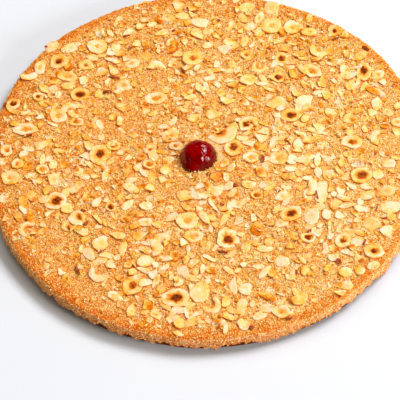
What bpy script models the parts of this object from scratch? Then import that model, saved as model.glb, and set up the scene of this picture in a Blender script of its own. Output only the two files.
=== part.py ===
"""A round, uncut basbousa: a low semolina cake set with sliced and chopped hazelnuts, and a halved
glace cherry pressed into its middle.

Metres, +Z up. The cake stands on z = 0 with the middle of its base at the origin, -Y is its front.
"""

import math
import random

import bmesh
import bpy
from mathutils import Euler, Matrix, Vector
from mathutils.geometry import delaunay_2d_cdt

MM = 0.001

# Cake: a shallow pan-baked round whose side leans in towards the base.
CAKE_RADIUS = 0.130
RIM_HEIGHT = 0.0108
CROWN_RISE = 0.0014
EDGE_ROUND = 0.0020
SIDE_LEAN = 0.0005
FOOT_INSET = 0.0027
FOOT_FLARE = 0.0010
LIP_HEIGHT = 0.0052  # where the pale crumb of the side ends in a ragged lip
LIP_DEPTH = 0.0009
LIP_DROP = 0.0007
CRUMB_RAGGED = 0.0009
TOP_SWELL = 0.00022
SIDE_POINTS = 120
TOP_POINT_SPACING = 0.014
TOP_POINT_MARGIN = 0.008

# Cherry: a dome with its cut face down, in a shallow seat.
CHERRY_RADIUS = 0.0105
CHERRY_RISE = 0.0108
CHERRY_SINK = 0.0014
CHERRY_PLACE = (-0.0048, -0.0022)
CHERRY_LUMP = 0.02
FIT_GAP = 0.0003
SEAT_SPARE = 0.0006
NUTS_KEEP_OFF = 0.0015

# Hazelnut pieces.
LARGE_PIECE = 0.0095
LARGE_SIDES = 8
SMALL_SIDES = 6
NUT_RISE = 0.0013
NUT_SINK = 0.0009
NUT_TILT = math.radians(5)
OUTLINE_UNEVEN = 0.05
SPREAD_REACH = 0.123
NUT_CLEARANCE = 0.0008

# Small pieces strewn by a seeded rule: seed, count, shortest and longest length, width as a share of it.
SLIVERS = (29, 28, (0.0055, 0.0085), (0.4, 0.55))
CHIPS = (31, 78, (0.0028, 0.0048), (0.6, 0.95))

# Slices through the kernel's hollow middle: right, back, length, width, turn, pit (mm, degrees).
PITTED_SLICES = [
    (-88, 77, 12, 11, 20, 4), (-64, 88, 14, 12, -20, 4), (-71, 73, 10, 9, 0, 3), (-83, 65, 14, 8, -25, 4),
    (-75, 50, 12, 10, 0, 5), (-100, 50, 7, 7, 0, 3), (-91, 51, 7, 6, 0, 3), (-115, 45, 9, 8, 60, 4),
    (-6, 75, 13, 12, 0, 4), (43, 99, 14, 13, 20, 4), (48, 72, 9, 9, 0, 5), (45, 57, 9, 8, 0, 4),
    (56, 97, 11, 11, 30, 4), (82, 93, 10, 9, 0, 3), (97, 60, 16, 10, 85, 5), (66, 61, 14, 9, -55, 4),
    (-88, 34, 11, 11, 0, 4), (-107, 25, 15, 10, 0, 5), (-63, 3, 16, 12, 75, 5), (-118, 10, 9, 8, 90, 4),
    (-116, -11, 12, 11, 0, 4), (-97, -6, 8, 7, 0, 4), (-89, -30, 13, 12, 40, 6), (-76, -43, 11, 10, 60, 5),
    (-57, -36, 6, 6, 0, 4), (-21, 15, 12, 10, 70, 4), (-29, 44, 14, 9, 0, 4), (16, 4, 13, 11, 90, 5),
    (24, 21, 11, 9, 40, 4), (26, -4, 10, 8, -20, 4), (42, -5, 12, 10, 0, 4), (51, 27, 14, 10, 0, 5),
    (86, 5, 13, 10, 0, 4), (90, -20, 13, 12, 35, 7), (47, -46, 13, 11, 20, 5), (-13, -48, 13, 12, 0, 5),
    (-10, -59, 12, 9, 0, 5), (10, -62, 16, 14, -50, 6), (-45, -92, 14, 12, 90, 5), (-21, -101, 16, 13, 0, 7),
    (38, -113, 12, 9, 0, 4), (76, -66, 11, 9, 60, 4), (56, -63, 9, 8, 0, 4), (93, -74, 12, 11, 0, 4),
]
# Slices from the kernel's ends, domed and whole: right, back, length, width, turn.
CAPS = [
    (-92, 89, 10, 8, 60), (-80, 88, 13, 7, 20), (-99, 73, 11, 7, 80), (-48, 56, 12, 9, 0),
    (-14, 118, 9, 8, 80), (-11, 110, 12, 5, 0), (0, 104, 13, 8, -15), (29, 115, 10, 8, 0),
    (36, 106, 10, 5, 60), (45, 113, 12, 12, 0), (26, 87, 10, 5, 65), (67, 93, 12, 7, 10),
    (106, 57, 8, 8, 0), (27, 56, 11, 9, 20), (45, 38, 10, 8, 0), (60, 38, 12, 8, 20),
    (103, 34, 10, 6, 80), (114, 19, 9, 8, 0), (-82, -35, 11, 8, 0), (-90, -14, 10, 8, 0),
    (-62, -61, 12, 10, 30), (-70, -68, 11, 6, -60), (-7, -98, 14, 11, 60), (19, -97, 9, 9, 0),
    (16, -109, 12, 6, 80), (26, -115, 9, 5, 25), (59, -48, 14, 9, 85), (93, -55, 11, 9, 0),
    (105, -43, 12, 11, 0), (43, -33, 12, 7, 0), (58, -33, 10, 6, 75), (5, -17, 9, 8, 0),
    (-37, -75, 11, 9, 20), (76, -88, 8, 7, 0), (-36, -36, 10, 6, 0), (-45, -23, 11, 6, -35),
    (66, -31, 17, 8, 80), (84, -67, 8, 8, 0), (24, -23, 9, 7, 0), (-53, 86, 9, 6, 70),
    (-43, 73, 9, 8, 0), (41, -52, 9, 7, 0),
]
# Slices broken open into a C: right, back, length, width, turn of the opening.
CRESCENTS = [
    (12, 17, 16, 15, 110), (-76, 37, 13, 12, -20), (-1, -107, 12, 11, 130), (-105, -49, 11, 11, -30),
]
# Long splinters: right, back, length, width, turn.
SPLINTERS = [
    (-96, 13, 14, 4, 40), (-66, 27, 10, 4, 90), (-47, -35, 10, 5, 50), (59, -6, 12, 5, 75),
    (65, -7, 12, 4, 80), (78, -36, 10, 4, -30), (9, -47, 12, 4, 60), (-3, -46, 12, 5, -60),
    (21, -68, 9, 4, 80), (31, -70, 11, 5, 0), (-12, -88, 11, 4, -25), (-50, -65, 11, 5, 75),
    (-46, -108, 10, 5, 75), (30, -86, 12, 4, 55), (46, -88, 9, 4, 85), (47, -101, 9, 4, -65),
]
# Patches of the top left nearly bare of nuts: right, back, radius.
BARE_PATCHES = [
    (-94, -66, 26), (-74, -94, 16), (60, -92, 15), (58, -112, 16), (107, 4, 14), (-68, -24, 9),
    (-44, 34, 12), (-84, 16, 9), (-40, 116, 15), (-14, -20, 9), (-10, -122, 12), (4, -84, 8),
    (34, -98, 8), (-108, 62, 10), (-72, 106, 14),
]


def outline_radius(turn):
    """Distance from the middle to the cake's widest edge, uneven as the batter set in its pan."""
    waves = 1.1 * math.cos(3 * (turn - math.radians(24)))
    waves += 0.5 * math.cos(4 * (turn - math.radians(37)))
    waves += 0.18 * math.sin(11 * turn + 0.7) + 0.14 * math.sin(19 * turn + 2.1)
    return CAKE_RADIUS + waves * MM


def top_height(x, y):
    """Height of the cake's top, slightly crowned and softly uneven."""
    reach = (x * x + y * y) / CAKE_RADIUS**2
    swell = math.sin(x / 0.021 + 1.0) * math.sin(y / 0.026) + 0.6 * math.sin((x - y) / 0.014)
    return RIM_HEIGHT + CROWN_RISE * (1 - reach) + TOP_SWELL * swell * max(0.0, 1 - reach)


def side_profile(ragged):
    """(inset, height) of the side from the base up to the rim; ragged is -1 to 1 along the crumb."""
    lip = LIP_HEIGHT + CRUMB_RAGGED * ragged
    round_start = RIM_HEIGHT - EDGE_ROUND
    return [
        (FOOT_INSET, 0.0),
        (FOOT_INSET - FOOT_FLARE, 0.45 * lip),
        (LIP_DEPTH, lip - LIP_DROP),
        (0.0, lip),
        (SIDE_LEAN, round_start),
        (SIDE_LEAN + 0.35 * EDGE_ROUND, RIM_HEIGHT - 0.25 * EDGE_ROUND),
        (SIDE_LEAN + EDGE_ROUND, top_height(CAKE_RADIUS, 0.0)),
    ]


def new_object(name, mesh, collection):
    made = bpy.data.objects.new(name, mesh)
    collection.objects.link(made)
    return made


def mesh_from(name, shape):
    bmesh.ops.recalc_face_normals(shape, faces=shape.faces[:])
    mesh = bpy.data.meshes.new(name)
    shape.to_mesh(mesh)
    shape.free()
    return mesh


def bridge(shape, lower, upper):
    """Faces between two closed rings of as many points."""
    count = len(lower)
    for i in range(count):
        j = (i + 1) % count
        shape.faces.new((lower[i], lower[j], upper[j], upper[i]))


def stacked_rings(name, rings):
    """A closed solid through rings of points, its first and last ring filled in."""
    shape = bmesh.new()
    loops = [[shape.verts.new(point) for point in ring] for ring in rings]
    for lower, upper in zip(loops, loops[1:]):
        bridge(shape, lower, upper)
    shape.faces.new(reversed(loops[0]))
    shape.faces.new(loops[-1])
    return mesh_from(name, shape)


def cake_core():
    """The bare cake: a ragged-sided round with its top an even net of triangles."""
    rng = random.Random(11)
    turns = [2 * math.pi * i / SIDE_POINTS for i in range(SIDE_POINTS)]
    columns = []
    for turn in turns:
        reach = outline_radius(turn)
        profile = side_profile(rng.uniform(-1, 1))
        direction = Vector((math.cos(turn), math.sin(turn), 0))
        columns.append([direction * (reach - inset) + Vector((0, 0, height)) for inset, height in profile])
    shape = bmesh.new()
    loops = [[shape.verts.new(column[level]) for column in columns] for level in range(len(columns[0]))]
    for lower, upper in zip(loops, loops[1:]):
        bridge(shape, lower, upper)
    shape.faces.new(reversed(loops[0]))

    rim = [vert.co.to_2d() for vert in loops[-1]]
    inner = top_points(CAKE_RADIUS - TOP_POINT_MARGIN)
    edges = [(i, (i + 1) % SIDE_POINTS) for i in range(SIDE_POINTS)]
    points, _, faces, origin, _, _ = delaunay_2d_cdt(rim + inner, edges, [], 1, 1e-6)
    verts = []
    for point, source in zip(points, origin):
        if source and source[0] < SIDE_POINTS:
            verts.append(loops[-1][source[0]])
        else:
            verts.append(shape.verts.new((point.x, point.y, top_height(point.x, point.y))))
    for face in faces:
        shape.faces.new([verts[i] for i in face])
    return mesh_from("cake", shape)


def top_points(reach):
    """Points over the top in staggered rows, out to the given distance from the middle."""
    row_step = TOP_POINT_SPACING * math.sqrt(3) / 2
    rows = int(reach / row_step)
    found = []
    for row in range(-rows, rows + 1):
        y = row * row_step
        shift = TOP_POINT_SPACING / 2 if row % 2 else 0.0
        for column in range(-rows - 2, rows + 3):
            x = column * TOP_POINT_SPACING + shift
            if math.hypot(x, y) < reach:
                found.append(Vector((x, y)))
    return found


def lie_on_top(place, turn, rng):
    """Where a nut piece lies: on the dough's surface, turned and slightly tilted."""
    x, y = place
    tilt = Euler((rng.uniform(-NUT_TILT, NUT_TILT), rng.uniform(-NUT_TILT, NUT_TILT), 0)).to_matrix()
    spot = Matrix.Translation((x, y, top_height(x, y)))
    return spot @ tilt.to_4x4() @ Matrix.Rotation(turn, 4, "Z")


def uneven(length, rng):
    """A factor for each point round a slice, so that none is a true ellipse."""
    sides = LARGE_SIDES if length > LARGE_PIECE else SMALL_SIDES
    phase = rng.uniform(0, 2 * math.pi)
    lobes = rng.choice((2, 3))
    return [1 + OUTLINE_UNEVEN * math.sin(lobes * 2 * math.pi * i / sides + phase) for i in range(sides)]


def nut_rings(length, width, levels, factors):
    """Level elliptical rings; levels are (share of the outline, height)."""
    sides = len(factors)
    rings = []
    for share, height in levels:
        ring = []
        for i in range(sides):
            turn = 2 * math.pi * i / sides
            reach = 0.5 * share * factors[i]
            ring.append(Vector((reach * length * math.cos(turn), reach * width * math.sin(turn), height)))
        rings.append(ring)
    return rings


def pitted_slice(length, width, pit, rng):
    share = pit / min(length, width)
    levels = [
        (0.92, -NUT_SINK),
        (1.0, 0.4 * NUT_RISE),
        (0.86, NUT_RISE),
        (share, 0.92 * NUT_RISE),
        (0.6 * share, 0.25 * NUT_RISE),
    ]
    return stacked_rings("slice", nut_rings(length, width, levels, uneven(length, rng)))


def cap(length, width, rng):
    levels = [(0.92, -NUT_SINK), (1.0, 0.35 * NUT_RISE), (0.72, 1.05 * NUT_RISE)]
    return stacked_rings("cap", nut_rings(length, width, levels, uneven(length, rng)))


def crescent(length, width, rng):
    """A bar bent round three quarters of an ellipse, thickest at its middle."""
    opening = math.radians(75)
    stations = 8
    thickness = 0.16 * (length + width)
    rings = []
    for i in range(stations):
        share = i / (stations - 1)
        turn = opening + share * (2 * math.pi - 2 * opening)
        swell = 0.45 + 0.55 * math.sin(math.pi * share)
        direction = Vector((math.cos(turn) * length, math.sin(turn) * width, 0)) / 2
        inner = direction * (1 - swell * 2 * thickness / (length + width) * 1.3)
        rings.append([
            direction * 0.98 + Vector((0, 0, -NUT_SINK)),
            direction + Vector((0, 0, 0.5 * NUT_RISE)),
            direction.lerp(inner, 0.5) + Vector((0, 0, 1.15 * NUT_RISE)),
            inner + Vector((0, 0, 0.6 * NUT_RISE)),
            inner + Vector((0, 0, -NUT_SINK)),
        ])
    return stacked_rings("crescent", rings)


def splinter(length, width, rng):
    """A flat shard with pointed ends."""
    outline = [(-0.5, 0.05), (-0.2, 0.5), (0.25, 0.42), (0.5, -0.08), (0.15, -0.5), (-0.3, -0.4)]
    rings = []
    for share, height in ((0.95, -NUT_SINK), (0.78, NUT_RISE * rng.uniform(0.8, 1.1))):
        rings.append([Vector((share * x * length, share * y * width, height)) for x, y in outline])
    return stacked_rings("splinter", rings)


def chip(length, width, rng):
    """A five-sided crumb of chopped nut."""
    factors = [rng.uniform(0.8, 1.1) for _ in range(5)]
    levels = [(1.0, -NUT_SINK), (0.66, NUT_RISE * rng.uniform(0.7, 1.1))]
    return stacked_rings("chip", nut_rings(length, width, levels, factors))


def nut_cover(x, y):
    """Share of the nuts kept at a place: none in the bare patches, few near the edge."""
    cover = min(1.0, max(0.0, (SPREAD_REACH - math.hypot(x, y)) / 0.008))
    for right, back, radius in BARE_PATCHES:
        apart = math.hypot(x - right * MM, y - back * MM)
        cover *= min(1.0, max(0.08, apart / (radius * MM) - 0.1))
    return cover


def spread(seed, count, lengths, widths, taken):
    """(x, y, length, width, turn) of like pieces, clear of the cherry and of every piece already laid."""
    rng = random.Random(seed)
    laid = []
    for _ in range(count * 80):
        if len(laid) == count:
            break
        x, y = rng.uniform(-SPREAD_REACH, SPREAD_REACH), rng.uniform(-SPREAD_REACH, SPREAD_REACH)
        length = rng.uniform(*lengths)
        width = length * rng.uniform(*widths)
        turn = rng.uniform(0, math.pi)
        if rng.random() > nut_cover(x, y):
            continue
        reach = length / 2
        if all(math.hypot(x - tx, y - ty) > reach + tr + NUT_CLEARANCE for tx, ty, tr in taken):
            taken.append((x, y, reach))
            laid.append((x, y, length, width, turn))
    return laid


def lay_nuts(collection):
    """Every nut piece as a solid of its own, the largest first."""
    rng = random.Random(23)
    taken = [(*CHERRY_PLACE, CHERRY_RADIUS + NUTS_KEEP_OFF)]

    def lay(mesh, x, y, turn):
        made = new_object(mesh.name, mesh, collection)
        made.matrix_world = lie_on_top((x, y), turn, rng)

    for right, back, length, width, turn, pit in PITTED_SLICES:
        taken.append((right * MM, back * MM, width * MM / 2))
        mesh = pitted_slice(length * MM, width * MM, pit * MM, rng)
        lay(mesh, right * MM, back * MM, math.radians(turn))
    for make, places in ((cap, CAPS), (crescent, CRESCENTS), (splinter, SPLINTERS)):
        for right, back, length, width, turn in places:
            taken.append((right * MM, back * MM, width * MM / 2))
            lay(make(length * MM, width * MM, rng), right * MM, back * MM, math.radians(turn))
    for make, kind in ((splinter, SLIVERS), (chip, CHIPS)):
        for x, y, length, width, turn in spread(*kind, taken):
            lay(make(length, width, rng), x, y, turn)


def round_solid(name, levels, sides, place):
    """An upright turned solid; levels are (radius, height) from the bottom up."""
    rings = []
    for radius, height in levels:
        turns = [2 * math.pi * i / sides for i in range(sides)]
        rings.append([
            Vector((place[0] + radius * math.cos(t), place[1] + radius * math.sin(t), height)) for t in turns
        ])
    return stacked_rings(name, rings)


def cherry_mesh():
    """A slightly lopsided dome, flat below, with the dent of its stem end."""
    seat = top_height(*CHERRY_PLACE) - CHERRY_SINK
    full = CHERRY_RISE + CHERRY_SINK
    steps = 8
    levels = [(0.93 * CHERRY_RADIUS, seat), (CHERRY_RADIUS, seat + CHERRY_SINK)]
    for i in range(1, steps):
        turn = 0.5 * math.pi * i / steps
        levels.append((CHERRY_RADIUS * math.cos(turn), seat + CHERRY_SINK + CHERRY_RISE * math.sin(turn)))
    levels.append((0.05 * CHERRY_RADIUS, seat + 0.985 * full))
    mesh = round_solid("cherry", levels, 24, CHERRY_PLACE)
    for vert in mesh.vertices:
        right, back = vert.co.x - CHERRY_PLACE[0], vert.co.y - CHERRY_PLACE[1]
        lump = 1 + CHERRY_LUMP * math.sin(3 * math.atan2(back, right) + 0.5)
        vert.co.x = CHERRY_PLACE[0] + right * lump
        vert.co.y = CHERRY_PLACE[1] + back * lump
    return mesh


def boolean(target, operation, **operand):
    """Applies one Boolean to the target at once."""
    modifier = target.modifiers.new(operation.title(), "BOOLEAN")
    modifier.operation = operation
    modifier.solver = "EXACT"
    for key, value in operand.items():
        setattr(modifier, key, value)
    graph = bpy.context.evaluated_depsgraph_get()
    applied = bpy.data.meshes.new_from_object(target.evaluated_get(graph))
    target.modifiers.clear()
    target.data = applied


def plain_material(name, colour, roughness, coat=0.0):
    material = bpy.data.materials.new(name)
    material.use_nodes = True
    shader = material.node_tree.nodes["Principled BSDF"]
    shader.inputs["Base Color"].default_value = (*colour, 1)
    shader.inputs["Roughness"].default_value = roughness
    shader.inputs["Coat Weight"].default_value = coat
    return material


for old in list(bpy.data.objects):
    bpy.data.objects.remove(old, do_unlink=True)

scene_collection = bpy.context.scene.collection
cake = new_object("cake", cake_core(), scene_collection)

# The seat that the cherry is pressed into, one fitting gap wider and deeper than the cherry.
surface = top_height(*CHERRY_PLACE)
seat_radius = (1 + CHERRY_LUMP) * CHERRY_RADIUS + FIT_GAP
seat_levels = [
    (seat_radius, surface - CHERRY_SINK - FIT_GAP),
    (seat_radius + SEAT_SPARE, surface + CHERRY_SINK),
]
seat = new_object("cherry_seat", round_solid("cherry_seat", seat_levels, 24, CHERRY_PLACE), scene_collection)
boolean(cake, "DIFFERENCE", object=seat)
bpy.data.objects.remove(seat, do_unlink=True)

nuts = bpy.data.collections.new("nuts")
scene_collection.children.link(nuts)
lay_nuts(nuts)
boolean(cake, "UNION", operand_type="COLLECTION", collection=nuts)
for piece in list(nuts.objects):
    bpy.data.objects.remove(piece, do_unlink=True)
bpy.data.collections.remove(nuts)

cherry = new_object("cherry", cherry_mesh(), scene_collection)

for made, material in (
    (cake, plain_material("semolina crumb", (0.83, 0.50, 0.20), 0.75)),
    (cherry, plain_material("glace cherry", (0.22, 0.002, 0.004), 0.25, coat=0.5)),
):
    made.data.materials.clear()
    made.data.materials.append(material)
    made.data.shade_smooth()
    made.data.set_sharp_from_angle(angle=math.radians(35))
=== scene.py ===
"""A round, uncut basbousa: a low semolina cake strewn with sliced and chopped hazelnuts, with a halved
glace cherry pressed into its middle. Metres, +Z up; the cake stands on z = 0, and -Y is its front.
"""

import math
import random

import bmesh
import bpy
import numpy as np
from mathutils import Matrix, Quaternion, Vector, noise


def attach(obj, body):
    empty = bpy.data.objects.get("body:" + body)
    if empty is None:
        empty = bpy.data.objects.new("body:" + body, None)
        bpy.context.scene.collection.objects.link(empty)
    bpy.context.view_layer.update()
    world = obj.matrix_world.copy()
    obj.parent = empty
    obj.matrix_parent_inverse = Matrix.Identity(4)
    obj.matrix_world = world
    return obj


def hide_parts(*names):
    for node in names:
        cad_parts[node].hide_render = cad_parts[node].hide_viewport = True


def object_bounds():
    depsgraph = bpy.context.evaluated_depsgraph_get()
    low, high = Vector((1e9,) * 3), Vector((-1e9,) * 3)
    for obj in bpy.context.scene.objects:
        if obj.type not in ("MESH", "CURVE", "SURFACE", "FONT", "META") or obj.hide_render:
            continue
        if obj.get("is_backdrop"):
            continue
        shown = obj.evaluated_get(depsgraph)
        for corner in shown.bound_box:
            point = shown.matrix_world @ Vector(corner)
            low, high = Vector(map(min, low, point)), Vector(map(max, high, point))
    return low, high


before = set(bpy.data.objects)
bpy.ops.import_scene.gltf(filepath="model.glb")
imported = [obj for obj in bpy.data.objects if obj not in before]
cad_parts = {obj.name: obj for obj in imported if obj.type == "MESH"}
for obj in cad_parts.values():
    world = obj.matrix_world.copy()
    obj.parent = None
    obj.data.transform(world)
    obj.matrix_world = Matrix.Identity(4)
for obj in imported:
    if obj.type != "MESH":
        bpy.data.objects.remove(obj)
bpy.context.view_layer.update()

# ---- Camera -----------------------------------------------------------------------------------------
# Well back, in front of the cake and above it, with a long lens. Most of the cake is in the picture,
# and its right-hand edge runs out of it.
MM = 0.001  # a millimetre, in metres
VIEW_ELEVATION = math.radians(53.1)
VIEW_ROLL = math.radians(-2.27)
VIEW_DISTANCE = 1.30
VIEW_TARGET = Vector((-4.9, -32.4, 10.9)) * MM
LENS_MM = 201.2


def add_object(name, data, *materials):
    """An object in the scene, its mesh in the given materials."""
    made = bpy.data.objects.new(name, data)
    bpy.context.scene.collection.objects.link(made)
    for material in materials:
        data.materials.append(material)
    return made


camera = add_object("camera", bpy.data.cameras.new("camera"))
camera.data.lens = LENS_MM
camera.data.sensor_width = 36.0
camera.data.clip_end = 20.0
looking = Vector((0, math.cos(VIEW_ELEVATION), -math.sin(VIEW_ELEVATION)))
camera.location = VIEW_TARGET - VIEW_DISTANCE * looking
camera.rotation_mode = "QUATERNION"
camera.rotation_quaternion = looking.to_track_quat("-Z", "Y") @ Quaternion((0, 0, 1), VIEW_ROLL)
bpy.context.scene.camera = camera

# ---- The cake ---------------------------------------------------------------------------------------
# Coarse semolina stirred with butter and yogurt and baked in a shallow round pan. Its top is a golden,
# grainy crust. Its side is pale crumb down to a ragged lip, and browned below, where the pan was;
# there its colour is also painted darker, as the shade under the lip.
CAKE_RADIUS = 0.130
RIM_HEIGHT = 0.0108
CROWN_RISE = 0.0014
TOP_SWELL = 0.00022
EDGE_ROUND = 0.0020
SIDE_LEAN = 0.0005
FOOT_INSET = 0.0027
FOOT_FLARE = 0.0010
LIP_HEIGHT = 0.0052
LIP_DEPTH = 0.0009
LIP_DROP = 0.0007
CRUMB_RAGGED = 0.0016
CHERRY_PLACE = (-0.0048, -0.0022)
SEAT_RADIUS = 0.0101
SEAT_DEPTH = 0.0017
SEAT_SLOPE = 0.0008
SEAT_COLLAR = 0.0007
GRAIN_PITCH = 0.0013
GRAIN_STAND = 0.00036
PORE_START = 0.36
PORE_DEPTH = 0.0020
TOP_RINGS = 160  # rings of the top's net, each with six points more than the ring inside it
SIDE_LEVELS = 18

# The lip is drawn higher or lower at this many places round the side, and the last meets the first.
LIP_DRAWS = 120
LIP_DRAW = random.Random(11)
LIP_HEIGHTS = [LIP_DRAW.uniform(-1, 1) for _ in range(LIP_DRAWS)]
LIP_HEIGHTS.append(LIP_HEIGHTS[0])

# Where the dough is smeared smooth: right, back, radius, in mm.
SMOOTH_SPOTS = [(6.8, 4.4, 2.8), (8.2, -3.0, 2.5), (4.4, 9.6, 2.0)]


def outline_radius(turn):
    """Distance from the middle to the cake's widest edge, uneven as the batter set in its pan."""
    waves = 1.1 * np.cos(3 * (turn - math.radians(24)))
    waves += 0.5 * np.cos(4 * (turn - math.radians(37)))
    waves += 0.18 * np.sin(11 * turn + 0.7) + 0.14 * np.sin(19 * turn + 2.1)
    return CAKE_RADIUS + waves * MM


def top_height(x, y):
    """Height of the cake's top, slightly crowned and softly uneven."""
    reach = (x * x + y * y) / CAKE_RADIUS**2
    swell = np.sin(x / 0.021 + 1.0) * np.sin(y / 0.026) + 0.6 * np.sin((x - y) / 0.014)
    return RIM_HEIGHT + CROWN_RISE * (1 - reach) + TOP_SWELL * swell * np.maximum(0.0, 1 - reach)


def raggedness(turn):
    """How far up or down the lip of the side lies, about -1.5 to 1.5, as the crumb tore."""
    spot = Vector((math.cos(turn), math.sin(turn), 0.0)) * CAKE_RADIUS
    drawn = float(np.interp(turn / (2 * math.pi) * LIP_DRAWS, range(LIP_DRAWS + 1), LIP_HEIGHTS))
    torn = 1.2 * noise.noise(spot / (6 * MM)) + 2.0 * noise.noise(spot / (2.8 * MM))
    return 0.8 * drawn + torn + 0.6 * noise.noise(spot / MM + Vector((4, 4, 4)))


def lip_at(turn):
    """Height of the side's ragged lip."""
    return LIP_HEIGHT + CRUMB_RAGGED * raggedness(turn)


def side_profile(turn):
    """(inset, height) of the side from the base up to the rim."""
    lip = lip_at(turn)
    round_start = RIM_HEIGHT - EDGE_ROUND
    return [
        (FOOT_INSET, 0.0),
        (FOOT_INSET - FOOT_FLARE, 0.45 * lip),
        (LIP_DEPTH, lip - LIP_DROP),
        (0.0, lip),
        (SIDE_LEAN, round_start),
        (SIDE_LEAN + 0.35 * EDGE_ROUND, RIM_HEIGHT - 0.25 * EDGE_ROUND),
        (SIDE_LEAN + EDGE_ROUND, float(top_height(CAKE_RADIUS, 0.0))),
    ]


def seat_form(x, y):
    """How far the top lies below or above its smooth form round the cherry pressed into it."""
    apart = math.hypot(x - CHERRY_PLACE[0], y - CHERRY_PLACE[1])
    inside = min(1.0, max(0.0, (SEAT_RADIUS + SEAT_SLOPE - apart) / SEAT_SLOPE))
    collar = math.exp(-(((apart - SEAT_RADIUS - 2.2 * SEAT_SLOPE) / (1.6 * SEAT_SLOPE)) ** 2))
    return SEAT_COLLAR * collar * (1 - inside) - SEAT_DEPTH * inside


def crust_relief(x, y):
    """The crust's own unevenness: soft lumps, packed grains and a few open pores."""
    spot = Vector((x, y, 0.0))
    lumps = 0.16 * noise.noise(spot / (7 * MM)) + 0.1 * noise.noise(spot / (3.2 * MM))
    grains = GRAIN_STAND * (0.45 - noise.voronoi(spot / GRAIN_PITCH)[0][0])
    pore = max(0.0, noise.noise(spot / (2.6 * MM) + Vector((7, 3, 5))) - PORE_START)
    return lumps * MM + grains - PORE_DEPTH * pore


def crumb_relief(point, strength):
    """How far the side's crumb stands out at a point."""
    coarse = 0.45 * noise.noise(point / (2.8 * MM))
    grains = 0.42 * (0.45 - noise.voronoi(point / (1.4 * MM))[0][0])
    return (coarse + grains) * strength * MM


def shares_from(spots, x, y):
    """How far a place is from each spot (right, back, radius, in mm), as a share of the spot's radius."""
    return [math.hypot(x - right * MM, y - back * MM) / (radius * MM) for right, back, radius in spots]


def smeared(x, y):
    """0 to 1: how much the dough is smeared smooth at a place."""
    return math.exp(-(min(shares_from(SMOOTH_SPOTS, x, y)) ** 4))


def ring_start(ring):
    """Index of a ring's first point in the net, whose ring k has 6 k points round one middle point."""
    return 1 + 3 * ring * (ring - 1) if ring else 0


def net_triangles(rings):
    """The triangles between the rings of the top's net."""
    faces = []
    for ring in range(rings):
        inner_count, outer_count = max(1, 6 * ring), 6 * (ring + 1)
        inner_start, outer_start = ring_start(ring), ring_start(ring + 1)
        for sextant in range(6):
            for step in range(ring + 1):
                inner = inner_start + (sextant * ring + step) % inner_count
                outer = outer_start + (sextant * (ring + 1) + step) % outer_count
                after = outer_start + (sextant * (ring + 1) + step + 1) % outer_count
                faces.append((inner, outer, after))
                if step < ring:
                    faces.append((inner, after, inner_start + (sextant * ring + step + 1) % inner_count))
    return faces


def cake_mesh():
    """The cake. A point's level is below 0 on the top, in cm from the rim, 1 at the lip, 2 at the base."""
    rim_count = 6 * TOP_RINGS
    points, levels = [], []
    for ring in range(TOP_RINGS + 1):
        for step in range(max(1, 6 * ring)):
            turn = 2 * math.pi * step / max(1, 6 * ring)
            rim = outline_radius(turn) - SIDE_LEAN - EDGE_ROUND
            reach = rim * ring / TOP_RINGS
            x, y = reach * math.cos(turn), reach * math.sin(turn)
            relief = crust_relief(x, y) * (1 - 0.8 * smeared(x, y))
            points.append((x, y, float(top_height(x, y)) + relief + seat_form(x, y)))
            levels.append(100 * (reach - rim))
    faces = net_triangles(TOP_RINGS)

    above = ring_start(TOP_RINGS)
    for level in range(1, SIDE_LEVELS + 1):
        below = len(points)
        share = 1 - level / SIDE_LEVELS
        for step in range(rim_count):
            turn = 2 * math.pi * step / rim_count
            along = Vector((math.cos(turn), math.sin(turn), 0.0))
            insets, heights = zip(*side_profile(turn))
            last = len(insets) - 1
            inset = np.interp(share * last, range(last + 1), insets)
            height = np.interp(share * last, range(last + 1), heights)
            point = along * (outline_radius(turn) - inset) + Vector((0, 0, height))
            if level < SIDE_LEVELS:
                point += along * crumb_relief(point, 1.0 if share > 0.45 else 0.4)
            points.append(point)
            levels.append(2 - 2 * share)
        for step in range(rim_count):
            after = (step + 1) % rim_count
            faces.append((above + step, below + step, below + after, above + after))
        above = below
    faces.append(tuple(reversed(range(above, above + rim_count))))

    mesh = bpy.data.meshes.new("cake_body")
    mesh.from_pydata(points, [], faces)
    mesh.attributes.new("level", "FLOAT", "POINT").data.foreach_set("value", levels)
    smears = [smeared(x, y) if level < 0 else 0.0 for (x, y, _), level in zip(points, levels)]
    mesh.attributes.new("smear", "FLOAT", "POINT").data.foreach_set("value", smears)
    mesh.shade_smooth()
    return mesh


def new_material(name):
    """A material and its shader."""
    material = bpy.data.materials.new(name)
    material.use_nodes = True
    return material, material.node_tree.nodes["Principled BSDF"]


def add_node(material, kind, inputs=(), **settings):
    """A shader node; its inputs are given by name as values or as other nodes' sockets."""
    made = material.node_tree.nodes.new("ShaderNode" + kind)
    for key, value in settings.items():
        setattr(made, key, value)
    for key, value in dict(inputs).items():
        if isinstance(value, bpy.types.NodeSocket):
            material.node_tree.links.new(value, made.inputs[key])
        else:
            made.inputs[key].default_value = value
    return made


def math_node(material, operation, first, second):
    """One sum or product of two numbers or sockets."""
    return add_node(material, "Math", {0: first, 1: second}, operation=operation).outputs[0]


def point_mark(material, name):
    """A value that the mesh holds at each of its points."""
    return add_node(material, "Attribute", attribute_name=name).outputs["Fac"]


def own_place(material):
    """Where a point is on the object itself."""
    return add_node(material, "TexCoord").outputs["Object"]


def place_along(material, axis):
    """How far right (axis 0) or back (axis 1) a point is on the object itself."""
    return add_node(material, "SeparateXYZ", {"Vector": own_place(material)}).outputs[axis]


def shown(red, green, blue):
    """A colour as it shows on a screen, 0 to 255, in the shader's linear values."""
    values = [c / 255 for c in (red, green, blue)]
    return tuple(c / 12.92 if c <= 0.04045 else ((c + 0.055) / 1.055) ** 2.4 for c in values) + (1.0,)


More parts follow.
